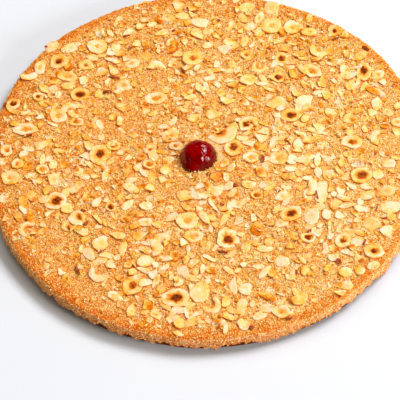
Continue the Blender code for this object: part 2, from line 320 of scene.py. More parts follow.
def add_ramp(material, factor, *stops):
    """Colours by a factor; a stop is its place, then red, green and blue as they show on a screen."""
    made = add_node(material, "ValToRGB", {"Fac": factor})
    elements = made.color_ramp.elements
    while len(elements) < len(stops):
        elements.new(1.0)
    for element, (place, *colour) in zip(elements, stops):
        element.position = place
        element.color = shown(*colour)
    return made.outputs["Color"]


def mixed(material, share, first, second, blend="MIX"):
    """first and second colour mixed by the share, a number or a socket."""
    made = add_node(material, "Mix", data_type="RGBA", blend_type=blend)
    for socket, value in zip((made.inputs[0], made.inputs[6], made.inputs[7]), (share, first, second)):
        if isinstance(value, bpy.types.NodeSocket):
            material.node_tree.links.new(value, socket)
        else:
            socket.default_value = value
    return made.outputs[2]


def tinted(material, colour, red, green, blue):
    """A colour multiplied by another, given as it shows."""
    return mixed(material, 1.0, colour, shown(red, green, blue), "MULTIPLY")


def add_noise(material, size, detail=2.0, roughness=0.5):
    """Noise whose lumps are the given size, in metres."""
    inputs = {"Vector": own_place(material), "Scale": 1 / size, "Detail": detail, "Roughness": roughness}
    return add_node(material, "TexNoise", inputs).outputs["Fac"]


def add_grains(material, size, feature="F1"):
    """Packed grains of the given size, in metres."""
    inputs = {"Vector": own_place(material), "Scale": 1 / size}
    return add_node(material, "TexVoronoi", inputs, feature=feature)


def stepped(material, value, low, high, to_low=0.0, to_high=1.0):
    """value from low to high, mapped to to_low and to_high."""
    inputs = {"Value": value, "From Min": low, "From Max": high, "To Min": to_low, "To Max": to_high}
    return add_node(material, "MapRange", inputs).outputs["Result"]


def finish_surface(material, shader, colour, roughness, specular, height, depth):
    """Gives the shader its colour, its gloss and a bump of the given depth, in metres."""
    material.node_tree.links.new(colour, shader.inputs["Base Color"])
    shader.inputs["Roughness"].default_value = roughness
    shader.inputs["Specular IOR Level"].default_value = specular
    bump = add_node(material, "Bump", {"Height": height, "Distance": depth, "Strength": 1.0})
    material.node_tree.links.new(bump.outputs["Normal"], shader.inputs["Normal"])
    return bump.outputs["Normal"]


def let_light_in(shader, weight, colours, depth):
    """Light runs a little way under the surface: how much of it, each colour's share, and how deep."""
    shader.inputs["Subsurface Weight"].default_value = weight
    shader.inputs["Subsurface Radius"].default_value = colours
    shader.inputs["Subsurface Scale"].default_value = depth


CRUMB_GLOSS = 0.02  # dry crumb and roasted nuts are nearly without gloss


def cake_material():
    """Packed semolina: golden crust above, deeper towards the rim, pale crumb at the side, brown foot
    darkened further by painted shade.
    """
    material, shader = new_material("semolina_cake")
    level = point_mark(material, "level")
    fine = add_noise(material, 0.5 * MM, 3.0, 0.6)
    grain_colour = add_grains(material, 1.0 * MM).outputs["Color"]
    grain_tone = add_node(material, "SeparateColor", {"Color": grain_colour}).outputs[0]
    gap = add_grains(material, 1.0 * MM, "DISTANCE_TO_EDGE").outputs["Distance"]
    tone = math_node(material, "MULTIPLY", grain_tone, 0.7)
    tone = math_node(material, "ADD", tone, stepped(material, fine, 0.3, 0.7, -0.1, 0.4))

    crust = add_ramp(
        material, tone, (0.08, 214, 124, 24), (0.33, 242, 191, 98), (0.62, 249, 216, 144),
        (1.0, 252, 240, 200),
    )
    drift = stepped(material, add_noise(material, 6 * MM, 3.0, 0.6), 0.3, 0.7, -0.5, 0.5)
    near_rim = stepped(material, math_node(material, "ADD", level, drift), -0.8, -0.1)
    crust = mixed(material, near_rim, crust, tinted(material, crust, 242, 201, 146))
    patches = stepped(material, add_noise(material, 15 * MM, 4.0, 0.6), 0.5, 0.68, 0.0, 0.8)
    crust = mixed(material, patches, crust, tinted(material, crust, 246, 232, 210))
    to_left = stepped(material, place_along(material, 0), -0.08, 0.08, 1.0, 0.0)
    crust = mixed(material, to_left, crust, tinted(material, crust, 254, 238, 220))
    crumb = add_ramp(material, tone, (0.05, 216, 108, 40), (0.4, 255, 198, 126), (1.0, 255, 234, 180))
    # The foot is crust browned by the pan, painted darker still as the shade under the lip.
    foot = add_ramp(material, tone, (0.05, 58, 20, 5), (0.5, 108, 48, 12), (1.0, 174, 98, 34))

    uneven = stepped(material, add_noise(material, 1.6 * MM), 0.3, 0.7, -0.1, 0.1)
    down = math_node(material, "ADD", level, uneven)
    colour = mixed(material, stepped(material, down, 0.16, 0.34), crust, crumb)
    # The crumb is made darker towards the lip.
    darker_to_lip = stepped(material, down, 0.6, 1.05, 0.0, 0.55)
    colour = mixed(material, darker_to_lip, colour, tinted(material, colour, 232, 156, 88))
    colour = mixed(material, stepped(material, down, 1.0, 1.14), colour, foot)
    # Painted shade: the crust is darkened in the gaps between its grains.
    gap_shade = stepped(material, gap, 0.02, 0.17, 0.85, 0.0)
    colour = mixed(material, gap_shade, colour, tinted(material, colour, 226, 140, 30))
    smear = stepped(material, point_mark(material, "smear"), 0.2, 0.6, 0.0, 0.9)
    colour = mixed(material, smear, colour, shown(240, 180, 132))
    relief = math_node(material, "ADD", stepped(material, gap, 0.0, 0.35), fine)
    finish_surface(material, shader, colour, 0.6, CRUMB_GLOSS, relief, 0.4 * MM)
    let_light_in(shader, 0.7, (1.0, 0.5, 0.2), 1.5 * MM)
    return material


cake_body = add_object("cake_body", cake_mesh(), cake_material())
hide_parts("cake")
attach(cake_body, "root")

# ---- Cherry -----------------------------------------------------------------------------------------
# Half a glace cherry, cut face down, pressed into the dough before baking. Its skin is soft and
# wrinkled, wet with syrup, and its cut edge spreads a little to the front left.
CHERRY_RADIUS = 0.0105
CHERRY_RISE = 0.0108
CHERRY_SINK = 0.0014
CHERRY_LUMP = 0.02
CHERRY_SIDES = 120
CHERRY_LEVELS = 40
SKIRT_TURN = math.radians(226)
SKIRT_WIDTH = math.radians(40)
SKIRT_REACH = 0.19
BROWNISH_EDGE = (-9.6, 3.6, 3.0)  # where it is tinted brownish, from its middle, in mm
SYRUP_COAT = 0.6
SYRUP_ROUGHNESS = 0.03


def wrinkled(point):
    """The cherry's surface point moved by its dents and wrinkles."""
    centre = Vector((*CHERRY_PLACE, top_height(*CHERRY_PLACE)))
    outward = (point - centre).normalized()
    wide = 0.3 * noise.noise(point / (5.2 * MM))
    fold = 0.45 * abs(noise.noise(point / (3.2 * MM) + Vector((3, 1, 4))))
    fine = 0.25 * abs(noise.noise(point / (1.7 * MM) + Vector((8, 2, 6))))
    return point + outward * (wide - fold - fine + 0.15) * MM


def cherry_mesh():
    """Half a cherry as rings from its cut face to its crown, spread at the foot on one side."""
    shape = bmesh.new()
    surface = float(top_height(*CHERRY_PLACE))
    levels = [
        (0.93 * CHERRY_RADIUS, surface - CHERRY_SINK),
        (0.98 * CHERRY_RADIUS, surface - 0.6 * CHERRY_SINK),
    ]
    for level in range(CHERRY_LEVELS):
        turn = 0.5 * math.pi * level / CHERRY_LEVELS
        levels.append((CHERRY_RADIUS * math.cos(turn), surface + CHERRY_RISE * math.sin(turn)))
    loops = []
    for radius, height in levels:
        loop = []
        low = max(0.0, 1 - (height - surface) / (0.4 * CHERRY_RISE)) if height >= surface else 0.0
        for side in range(CHERRY_SIDES):
            turn = 2 * math.pi * side / CHERRY_SIDES
            skirt = SKIRT_REACH * low * math.exp(-(((turn - SKIRT_TURN) / SKIRT_WIDTH) ** 2))
            reach = radius * (1 + CHERRY_LUMP * math.sin(3 * turn + 0.5) + skirt)
            x = CHERRY_PLACE[0] + reach * math.cos(turn)
            y = CHERRY_PLACE[1] + reach * math.sin(turn)
            loop.append(shape.verts.new(wrinkled(Vector((x, y, height)))))
        loops.append(loop)
    for lower, upper in zip(loops, loops[1:]):
        for i in range(CHERRY_SIDES):
            j = (i + 1) % CHERRY_SIDES
            shape.faces.new((lower[i], lower[j], upper[j], upper[i]))
    shape.faces.new(reversed(loops[0]))
    crown = shape.verts.new(wrinkled(Vector((*CHERRY_PLACE, surface + 0.99 * CHERRY_RISE))))
    for i in range(CHERRY_SIDES):
        shape.faces.new((loops[-1][i], loops[-1][(i + 1) % CHERRY_SIDES], crown))
    mesh = bpy.data.meshes.new("glace_cherry")
    shape.to_mesh(mesh)
    shape.free()
    mesh.shade_smooth()
    return mesh


def cherry_material():
    """Red flesh under a coat of syrup, painted darker towards the right as shade, and brownish at its left
    edge.
    """
    material, shader = new_material("glace_cherry")
    mottle = add_noise(material, 6 * MM, 2.0, 0.5)
    colour = add_ramp(material, mottle, (0.35, 108, 0, 0), (0.5, 124, 0, 1), (0.65, 144, 0, 2))
    # Painted shade: the flesh is darkened towards the right, so the left looks lit through.
    from_right = CHERRY_PLACE[0] - 2 * MM, CHERRY_PLACE[0] + CHERRY_RADIUS
    dark = stepped(material, place_along(material, 0), *from_right, 0.0, 0.75)
    colour = mixed(material, dark, colour, shown(66, 0, 0))
    brownish_edge = Vector((*CHERRY_PLACE, RIM_HEIGHT)) + Vector(BROWNISH_EDGE) * MM
    inputs = {0: own_place(material), 1: brownish_edge}
    apart = add_node(material, "VectorMath", inputs, operation="DISTANCE").outputs["Value"]
    edge_tint = stepped(material, apart, 2.0 * MM, 5.0 * MM, 0.7, 0.0)
    colour = mixed(material, edge_tint, colour, shown(160, 52, 14))
    dents = add_noise(material, 1.5 * MM, 2.0, 0.5)
    wrinkles = finish_surface(material, shader, colour, 0.35, 0.0, dents, 0.18 * MM)
    material.node_tree.links.new(wrinkles, shader.inputs["Coat Normal"])
    shader.inputs["Coat Weight"].default_value = SYRUP_COAT
    shader.inputs["Coat Roughness"].default_value = SYRUP_ROUGHNESS
    return material


cherry = add_object("glace_cherry", cherry_mesh(), cherry_material())
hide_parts("cherry")
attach(cherry, "root")

# ---- Hazelnut slices through the hollow ---------------------------------------------------------------
# Kernels sliced across through their hollow and strewn on the dough before baking. Their cut faces are
# cream at the rim and slope through amber to a brown hollow.
NUT_RISE = 0.00075  # how far a nut stands above the crust
NUT_SINK = 0.0009  # and how far it is sunk in it
NUT_TILT = math.radians(6)
SLICE_SIDES = 40

# right, back, length, width, turn, pit (mm, degrees), and how dark the pit is, 0 to 1.
PITTED_SLICES = [
    (-88, 77, 12, 11, 20, 4, 1.0), (-64, 88, 14, 12, -20, 4, 0.3), (-71, 73, 10, 9, 0, 3, 0.6),
    (-83, 65, 14, 8, -25, 4, 0.3), (-75, 50, 12, 10, 0, 5, 1.0), (-100, 50, 7, 7, 0, 3, 0.8),
    (-91, 51, 7, 6, 0, 3, 0.8), (-115, 45, 9, 8, 60, 4, 1.0), (-6, 75, 13, 12, 0, 4, 0.7),
    (43, 99, 14, 13, 20, 4, 0.35), (48, 72, 9, 9, 0, 5, 0.75), (45, 57, 9, 8, 0, 4, 1.0),
    (56, 97, 11, 11, 30, 4, 0.35), (82, 93, 10, 9, 0, 3, 0.95), (97, 60, 16, 10, 85, 5, 1.0),
    (66, 61, 14, 9, -55, 4, 0.5), (-88, 34, 11, 11, 0, 4, 0.35), (-107, 25, 15, 10, 0, 5, 0.4),
    (-63, 3, 16, 12, 75, 5, 0.95), (-118, 10, 9, 8, 90, 4, 0.5), (-116, -11, 12, 11, 0, 4, 0.35),
    (-97, -6, 8, 7, 0, 4, 0.5), (-89, -30, 13, 12, 40, 6, 1.0), (-76, -43, 11, 10, 60, 5, 0.9),
    (-57, -36, 6, 6, 0, 4, 0.8), (-21, 15, 12, 10, 70, 4, 0.35), (-29, 44, 14, 9, 0, 4, 0.45),
    (16, 4, 13, 11, 90, 5, 0.9), (24, 21, 11, 9, 40, 4, 1.0), (26, -4, 10, 8, -20, 4, 0.35),
    (42, -5, 12, 10, 0, 4, 0.35), (51, 27, 14, 10, 0, 5, 0.95), (86, 5, 13, 10, 0, 4, 0.7),
    (90, -20, 13, 12, 35, 7, 0.85), (47, -46, 13, 11, 20, 5, 1.0), (-13, -48, 13, 12, 0, 5, 0.35),
    (-10, -59, 12, 9, 0, 5, 0.35), (10, -62, 16, 14, -50, 6, 1.0), (-45, -92, 14, 12, 90, 5, 0.75),
    (-21, -101, 16, 13, 0, 7, 0.95), (38, -113, 12, 9, 0, 4, 0.4), (76, -66, 11, 9, 60, 4, 0.75),
    (56, -63, 9, 8, 0, 4, 1.0), (93, -74, 12, 11, 0, 4, 0.95),
]
FURTHER_SLICES = [
    (27, 76, 8, 7, 0, 3, 0.6), (-77, 29, 8, 8, 0, 4, 0.6), (-26, 86, 6, 5, 0, 3, 0.6),
    (-55, 9, 9, 8, 0, 4, 0.6), (-112, -1, 8, 7, 0, 3, 0.5), (-81, -48, 9, 8, 0, 5, 0.35),
    (-18, 7, 8, 7, 0, 3, 0.5), (-33, 5, 8, 7, 0, 2.5, 0.6), (-34, -6, 8, 7, 0, 4, 0.6),
    (28, -31.5, 7, 6, 0, 4, 0.75),
]

NUT_MAP_STEP = 0.0005
NUT_MAP_HALF = 280
nut_map = np.zeros((2 * NUT_MAP_HALF, 2 * NUT_MAP_HALF), bool)  # where nuts lie, in half millimetres

RIM_INNER = 0.84  # a cut face is flat out to the rim from this share of its outline
# (share of the hollow's width, height in rises) of the hollow's floor.
PIT_FLOOR = [(0.88, 0.56), (0.7, 0.42), (0.4, 0.36), (0.1, 0.38)]
BROWNING_OUTER = 0.92  # browning starts here, as a share of the outline
SLOPE_BROWN = 0.36  # how brown the slope to the hollow gets
CORE_BROWN = 0.5  # and how much more the hollow itself
ANY_TURN = 6.3  # radians, a little more than once round


def in_metres(right, back, length, width, turn):
    """A place in mm and degrees as x, y, length, width and turn, in metres and radians."""
    return right * MM, back * MM, length * MM, width * MM, math.radians(turn)


def map_patch(x, y, length, width, turn):
    """The window of the nut map round an ellipse, and which of its squares lie inside."""
    reach = int(0.5 * length / NUT_MAP_STEP) + 1
    column, row = int(x / NUT_MAP_STEP) + NUT_MAP_HALF, int(y / NUT_MAP_STEP) + NUT_MAP_HALF
    window = (slice(row - reach, row + reach + 1), slice(column - reach, column + reach + 1))
    right, back = np.meshgrid(np.arange(-reach, reach + 1), np.arange(-reach, reach + 1))
    along = right * math.cos(turn) + back * math.sin(turn)
    across = back * math.cos(turn) - right * math.sin(turn)
    inside = np.hypot(along / length, across / width) <= 0.5 / NUT_MAP_STEP
    return window, inside


def take_place(*place):
    """Marks on the nut map that a nut lies at this place."""
    window, inside = map_patch(*place)
    nut_map[window] |= inside


def share_taken(*place):
    """How much of this place nuts already cover, 0 to 1."""
    window, inside = map_patch(*place)
    return float(nut_map[window][inside].mean())


def lay(points, x, y, turn, lean=(0.0, 0.0), lift=0.0):
    """Points of a piece modelled round the origin, leant, turned and laid on the cake's top."""
    lean_x, lean_y = lean
    cos_x, sin_x, cos_y, sin_y = math.cos(lean_x), math.sin(lean_x), math.cos(lean_y), math.sin(lean_y)
    about_x = np.array(((1, 0, 0), (0, cos_x, -sin_x), (0, sin_x, cos_x)))
    about_y = np.array(((cos_y, 0, sin_y), (0, 1, 0), (-sin_y, 0, cos_y)))
    cos_t, sin_t = math.cos(turn), math.sin(turn)
    about_z = np.array(((cos_t, -sin_t, 0), (sin_t, cos_t, 0), (0, 0, 1)))
    return points @ (about_x @ about_y @ about_z).T + (x, y, float(top_height(x, y)) + lift)


def set_down(solid, place, lean=(0.0, 0.0), lift=0.0):
    """A solid modelled round the origin, laid on the cake's top at its place."""
    points, *rest = solid
    x, y, _, _, turn = place
    return lay(points, x, y, turn, lean, lift), *rest


def any_lean(rng, most):
    """A lean to any side, up to the most given."""
    return rng.uniform(-most, most), rng.uniform(-most, most)


def ring_faces(sides, levels):
    """Faces of a closed stack of rings, its first and last ring filled in."""
    faces = [tuple(reversed(range(sides)))]
    for level in range(levels - 1):
        low, high = level * sides, (level + 1) * sides
        for i in range(sides):
            j = (i + 1) % sides
            faces.append((low + i, low + j, high + j, high + i))
    faces.append(tuple(range((levels - 1) * sides, levels * sides)))
    return faces


def ring_points(outline, levels):
    """The outline scaled to each level; levels are (share of the outline, height)."""
    return np.concatenate([
        np.column_stack((outline * share, np.full(len(outline), height))) for share, height in levels
    ])


def kernel_outline(length, width, sides, rng, uneven=0.06):
    """An ellipse that a few soft lobes make uneven."""
    turns = np.arange(sides) * 2 * math.pi / sides
    factor = np.ones(sides)
    for lobes in (2, 3, 4, 5, 8):
        strength = uneven * rng.uniform(0.2, 1.0) / math.sqrt(lobes)
        factor += strength * np.sin(lobes * turns + rng.uniform(0, ANY_TURN))
    return 0.5 * np.column_stack((length * factor * np.cos(turns), width * factor * np.sin(turns)))


def broken_off(outline, rng, nearest, furthest):
    """The outline with one straight break, at a share of its reach from the middle."""
    turn = rng.uniform(0, 2 * math.pi)
    across = np.array((math.cos(turn), math.sin(turn)))
    limit = rng.uniform(nearest, furthest) * (outline @ across).max()
    beyond = np.maximum(0.0, outline @ across - limit)
    return outline - beyond[:, None] * across


def roughened(points, amount, size=1.6 * MM):
    """Points moved up or down by noise, for a surface that was cut and roasted."""
    shift = [noise.noise(Vector(point) / size) for point in points]
    return points + np.column_stack((np.zeros((len(points), 2)), np.array(shift) * amount))


def join_solids(name, solids, material, smooth_angle=40):
    """One piece from many closed solids, each (points, faces, toast, hollow); the last two per point."""
    points, faces, toast, hollow = [], [], [], []
    start = 0
    for solid_points, solid_faces, solid_toast, solid_hollow in solids:
        points.append(solid_points)
        faces.extend(tuple(start + i for i in face) for face in solid_faces)
        toast.append(np.broadcast_to(solid_toast, len(solid_points)))
        hollow.append(np.broadcast_to(solid_hollow, len(solid_points)))
        start += len(solid_points)
    mesh = bpy.data.meshes.new(name)
    mesh.from_pydata(np.concatenate(points).tolist(), [], faces)
    for attribute, values in (("toast", toast), ("hollow", hollow)):
        made = mesh.attributes.new(attribute, "FLOAT", "POINT")
        made.data.foreach_set("value", np.concatenate(values).astype(np.float32))
    mesh.shade_smooth()
    mesh.set_sharp_from_angle(angle=math.radians(smooth_angle))
    piece = add_object(name, mesh, material)
    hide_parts("cake")
    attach(piece, "root")
    return piece


WALL_TOAST = 0.22  # how much browner a piece's outside is than its cut face
FOOT_TOAST_AND_SHADE = 0.28  # and how much more at its foot, where it meets the cake: partly toasting, partly painted shade


def uneven_toast(points, size, rng):
    """Toasting that runs across a piece and from its middle to its edge, as it lay in the oven."""
    turn, across, outward = rng.uniform(0, ANY_TURN), rng.uniform(0.2, 0.8), rng.uniform(-0.3, 0.5)
    right, back = points[:, 0] / size, points[:, 1] / size
    along = right * math.cos(turn) + back * math.sin(turn)
    return across * along + outward * (2 * np.hypot(right, back) - 0.7)


def wall_toast(points, top):
    """Toasting of a piece's outside, deepest where it meets the cake, partly as painted shade there."""
    foot = np.clip(0.7 - points[:, 2] / NUT_RISE, 0, 1)
    return np.where(top, 0.0, WALL_TOAST + FOOT_TOAST_AND_SHADE * foot)


def slice_levels(pit_share, rise):
    """(share, height) of a sliced kernel, from its sunk underside over the rim and down to its pit."""
    edge = [(0.93, -NUT_SINK), (0.99, 0.0), (1.0, 0.4 * rise), (0.995, 0.75 * rise)]
    rim = [(0.975, 0.94 * rise), (0.93, 1.02 * rise), (RIM_INNER, 1.02 * rise)]
    slope = [
        (RIM_INNER + (pit_share - RIM_INNER) * share, (1.02 - 0.3 * share * share) * rise)
        for share in (0.35, 0.65, 0.88, 1.0)
    ]
    pit = [(share * pit_share, height * rise) for share, height in PIT_FLOOR]
    return edge + rim + slope + pit


def pitted_slice(length, width, pit, char, rng):
    """A slice with a hollow, its edge chipped straight in a few places."""
    pit_share = pit / min(length, width)
    levels = slice_levels(pit_share, NUT_RISE * rng.uniform(1.0, 1.3))
    outline = kernel_outline(length, width, SLICE_SIDES, rng)
    for _ in range(rng.choice((1, 2, 3, 4))):
        outline = broken_off(outline, rng, 0.76, 0.98)
    points = roughened(ring_points(outline, levels), 0.14 * MM)
    shares = np.repeat([share for share, _ in levels], SLICE_SIDES)
    lumpy = np.array([noise.noise(Vector(point) / (2.2 * MM)) for point in points])
    shares = shares + 0.16 * lumpy * (shares < pit_share + 0.4)
    top = np.repeat([i > 3 for i in range(len(levels))], SLICE_SIDES)
    slope = np.clip((BROWNING_OUTER - shares) / (BROWNING_OUTER - pit_share), 0, 1) ** 1.5 * SLOPE_BROWN
    core = np.clip((0.98 * pit_share - shares) / (0.45 * pit_share), 0, 1) * CORE_BROWN
    hollow = np.where(top, (slope + core) * char, 0.0)
    toast = wall_toast(points, top) + uneven_toast(points, length, rng) + rng.uniform(-0.05, 0.4)
    return points, ring_faces(SLICE_SIDES, len(levels)), toast, hollow


def hazelnut_material():
    """Kernel flesh by two marks on the mesh: toast for roasting, hollow for the pit's browning."""
    material, shader = new_material("hazelnut")
    toast = point_mark(material, "toast")
    further_back = stepped(material, place_along(material, 1), -0.04, 0.08, 0.0, 0.12)
    fine = stepped(material, add_noise(material, 1.3 * MM, 3.0, 0.6), 0.3, 0.7, -0.16, 0.16)
    mottle = stepped(material, add_noise(material, 4.5 * MM, 4.0, 0.6), 0.3, 0.7, -0.25, 0.4)
    for more in (further_back, fine, mottle):
        toast = math_node(material, "ADD", toast, more)
    flesh = add_ramp(
        material, toast, (0.0, 246, 200, 167), (0.25, 246, 190, 131), (0.5, 244, 180, 99),
        (0.75, 232, 152, 46), (1.0, 194, 98, 8),
    )
    speck = stepped(material, add_noise(material, 1.6 * MM, 4.0, 0.65), 0.3, 0.7, 0.6, 1.4)
    hollow = math_node(material, "MULTIPLY", point_mark(material, "hollow"), speck)
    roasted = add_ramp(
        material, hollow, (0.1, 243, 182, 100), (0.3, 228, 144, 54), (0.48, 188, 98, 26),
        (0.68, 136, 58, 16), (0.95, 92, 34, 10),
    )
    colour = mixed(material, stepped(material, hollow, 0.08, 0.24), flesh, roasted)
    grain = add_noise(material, 0.5 * MM, 3.0, 0.6)
    finish_surface(material, shader, colour, 0.5, CRUMB_GLOSS, grain, 0.08 * MM)
    let_light_in(shader, 0.6, (1.0, 0.55, 0.25), 1.5 * MM)
    return material


hazelnut = hazelnut_material()
CHERRY_CLEAR = 2 * (CHERRY_RADIUS + 1.5 * MM)  # the round patch that nuts leave free for the cherry
take_place(*CHERRY_PLACE, CHERRY_CLEAR, CHERRY_CLEAR, 0.0)
rng = random.Random(41)
solids = []
for *place, pit, char in PITTED_SLICES + FURTHER_SLICES:
    place = in_metres(*place)
    take_place(*place)
    solid = pitted_slice(place[2], place[3], pit * MM, char, rng)
    solids.append(set_down(solid, place, any_lean(rng, NUT_TILT), rng.uniform(-0.1, 0.2) * MM))
slices = join_solids("hazelnut_slices", solids, hazelnut)

# ---- Hazelnut end slices ------------------------------------------------------------------------------
# The round ends of the kernels, left over when they were sliced. They lie round side up, domed and
# whole, and are cream coloured and only lightly toasted.
CAP_SIDES = 32

# right, back, length, width, turn (mm, degrees).
CAPS = [
    (-92, 89, 10, 8, 60), (-80, 88, 13, 7, 20), (-99, 73, 11, 7, 80), (-48, 56, 12, 9, 0),
    (-14, 118, 9, 8, 80), (-11, 110, 12, 5, 0), (0, 104, 13, 8, -15), (29, 115, 10, 8, 0),
    (36, 106, 10, 5, 60), (45, 113, 12, 12, 0), (26, 87, 10, 5, 65), (67, 93, 12, 7, 10),
    (106, 57, 8, 8, 0), (27, 56, 11, 9, 20), (45, 38, 10, 8, 0), (60, 38, 12, 8, 20),
    (103, 34, 10, 6, 80), (114, 19, 9, 8, 0), (-82, -35, 11, 8, 0), (-90, -14, 10, 8, 0),
    (-62, -61, 12, 10, 30), (-70, -68, 11, 6, -60), (-7, -98, 14, 11, 60), (19, -97, 9, 9, 0),
    (16, -109, 12, 6, 80), (26, -115, 9, 5, 25), (59, -48, 14, 9, 85), (93, -55, 11, 9, 0),
    (105, -43, 12, 11, 0), (43, -33, 12, 7, 0), (58, -33, 10, 6, 75), (5, -17, 9, 8, 0),
    (-37, -75, 11, 9, 20), (76, -88, 8, 7, 0), (-36, -36, 10, 6, 0), (-45, -23, 11, 6, -35),
    (66, -31, 17, 8, 80), (84, -67, 8, 8, 0), (24, -23, 9, 7, 0), (-53, 86, 9, 6, 70),
    (-43, 73, 9, 8, 0), (41, -52, 9, 7, 0),
]
FURTHER_CAPS = [
    (-82, 57, 8, 5, 0), (-73, 61, 9, 6, 20), (-4, 97, 8, 5, -10), (4, 96, 7, 5, 0),
    (-24, 97, 12, 5, 35), (26, 106, 9, 5, -70), (30, 99, 9, 6, 0), (17, 87, 8, 6, 0),
    (88, 90, 7, 6, 45), (96, 72, 9, 6, 35), (86, 57, 7, 6, 0), (56, 20, 8, 5, 0),
    (4, 30, 8, 7, 0), (109, 27, 8, 5, -40), (-103, -24, 6, 6, 0), (-96, -28, 7, 6, 0),
    (-56, -98, 7, 7, 0), (-62, -73, 7, 6, 0), (68, -47, 9, 6, 75), (104, -32, 9, 8, 0),
    (-36, -48, 11, 6, 0), (-28, -59, 10, 8, 0), (76, -97, 8, 6, 0), (84, -87, 7, 6, 60),
    (92, -84, 8, 5, 20), (5, -27, 9, 7, 70), (75, -48, 7, 5, 0), (40, -79, 10, 8, -45),
    (-30, 104, 8, 5, 30), (67, 104, 8, 4, 80),
]
AMBER_CAP = (5, -17)  # one end is soaked through with syrup
# (share of the outline, height in rises) from the sunk underside to the middle of the dome.
CAP_LEVELS = [
    (0.93, -0.7), (0.99, 0.0), (1.0, 0.35), (0.99, 0.65), (0.96, 0.82), (0.90, 0.9), (0.76, 0.97),
    (0.56, 1.02), (0.32, 1.05), (0.1, 1.06),
]


def cap(length, width, rng):
    """A domed end slice, its edge chipped straight in a few places or not at all."""
    rise = NUT_RISE * rng.uniform(0.95, 1.2)
    outline = kernel_outline(length, width, CAP_SIDES, rng, 0.07)
    for _ in range(rng.choice((0, 1, 1, 2, 3))):
        outline = broken_off(outline, rng, 0.6, 0.95)
    levels = [(share, height * rise) for share, height in CAP_LEVELS]
    points = roughened(ring_points(outline, levels), 0.22 * MM, 2.4 * MM)
    shares = np.repeat([share for share, _ in levels], CAP_SIDES)
    hollow = np.clip(0.8 - shares, 0, 1) * rng.choice((0, 0, 0.15, 0.3, 0.4))
    toast = wall_toast(points, points[:, 2] > 0.7 * rise)
    toast = toast + uneven_toast(points, length, rng) + rng.uniform(-0.1, 0.35)
    return points, ring_faces(CAP_SIDES, len(levels)), toast, hollow


solids = []
for place in CAPS + FURTHER_CAPS:
    soaked = place[:2] == AMBER_CAP
    place = in_metres(*place)
    take_place(*place)
    points, faces, toast, hollow = cap(place[2], place[3], rng)
    if soaked:
        hollow = np.clip(hollow + 0.34 + 0.2 * points[:, 0] / (0.5 * place[2]), 0, 1)
    lean = any_lean(rng, 1.5 * NUT_TILT)
    lift = rng.uniform(-0.35, 0.1) * MM
    solids.append(set_down((points, faces, toast, hollow), place, lean, lift))
ends = join_solids("hazelnut_ends", solids, hazelnut)

# ---- Broken slices ------------------------------------------------------------------------------------
# Slices that the knife or the roasting broke open: halves with the brown hollow in their broken edge,
# and Cs thickest at the middle of the bow.
HALF_SIDES = 36
CRESCENT_OPENING = math.radians(62)
CRESCENT_STATIONS = 26

# right, back, length along the break, width, turn, and how dark the hollow is.
HALF_SLICES = [
    (11.2, 12.9, 17.5, 10.5, 26, 0.8), (-77, -43, 12, 8, -90, 1.0), (27, 24, 11, 6, 150, 0.9),
    (-82, 40, 12, 7, 200, 0.4), (61, -28, 12, 7, 80, 0.3), (-31, -66, 12, 7, 100, 0.3),
    (-106, 66, 11, 6, 10, 0.3), (70, 76, 12, 7, -40, 0.5), (-66, -84, 11, 6, -50, 0.4),
    (17, 66, 11, 7, 60, 0.5), (100, 8, 11, 6, -100, 0.4), (-28, 70, 12, 7, 170, 0.5),
]
# right, back, length, width, turn of the opening (mm, degrees).
CRESCENTS = [(-76, 37, 13, 12, -20), (-1, -107, 12, 11, 130), (-105, -49, 11, 11, -30), (34, 66, 10, 9, 60)]
# (share of the way from the outer to the inner edge, height in rises) round the bow's section.
CRESCENT_SECTION = [
    (0.04, -0.7), (0.0, 0.1), (0.02, 0.75), (0.14, 1.0), (0.4, 1.1), (0.7, 1.0), (0.93, 0.7),
    (1.0, 0.2), (0.97, -0.7),
]


def half_slice(length, width, char, rng):
    """Half a slice: round on one side, broken through its hollow on the other."""
    turns = np.linspace(math.pi, 2 * math.pi, HALF_SIDES // 2)
    lobes = 1 + 0.05 * np.sin(3 * turns + rng.uniform(0, ANY_TURN))
    lobes += 0.03 * np.sin(7 * turns + rng.uniform(0, ANY_TURN))
    arc = np.column_stack((0.5 * length * lobes * np.cos(turns), width * lobes * np.sin(turns)))
    along = np.linspace(0.47, -0.47, HALF_SIDES - len(arc))
    notch = -0.1 * width * np.exp(-(((along + 0.06) / 0.17) ** 2)) + 0.03 * width * np.sin(40 * along)
    outline = np.concatenate((arc, np.column_stack((along * length, notch)))) + (0.0, 0.45 * width)
    rise = NUT_RISE * rng.uniform(1.0, 1.3)
    levels = [(share, height * rise) for share, height in CAP_LEVELS]
    points = roughened(ring_points(outline, levels), 0.16 * MM)
    top = points[:, 2] > 0.7 * rise
    right = (points[:, 0] + 0.06 * length) / (0.22 * length)
    back = (points[:, 1] - 0.4 * width) / (0.36 * width)
    apart = np.hypot(right, back)
    hollow = np.exp(-(apart**2)) * char
    points[:, 2] -= np.where(top, 0.45 * rise * np.exp(-(apart**3)), 0.0)
    toast = 2.2 * wall_toast(points, top) + uneven_toast(points, length, rng) + rng.uniform(-0.1, 0.25)
    return points, ring_faces(HALF_SIDES, len(levels)), toast, hollow


def crescent(length, width):
    """A bar bent round most of an ellipse; its points, and how near its inner edge each is."""
    points, inward = [], []
    for i in range(CRESCENT_STATIONS):
        share = i / (CRESCENT_STATIONS - 1)
        turn = CRESCENT_OPENING + share * 2 * (math.pi - CRESCENT_OPENING)
        swell = 0.5 + 0.35 * math.sin(math.pi * share) ** 0.6
        outer = np.array((math.cos(turn) * length, math.sin(turn) * width, 0.0)) / 2
        inner = outer * (1 - 0.9 * swell)
        for depth, height in CRESCENT_SECTION:
            points.append(outer + (inner - outer) * depth + (0, 0, 1.15 * height * NUT_RISE))
            inward.append(depth)
    return roughened(np.array(points), 0.14 * MM), np.array(inward)


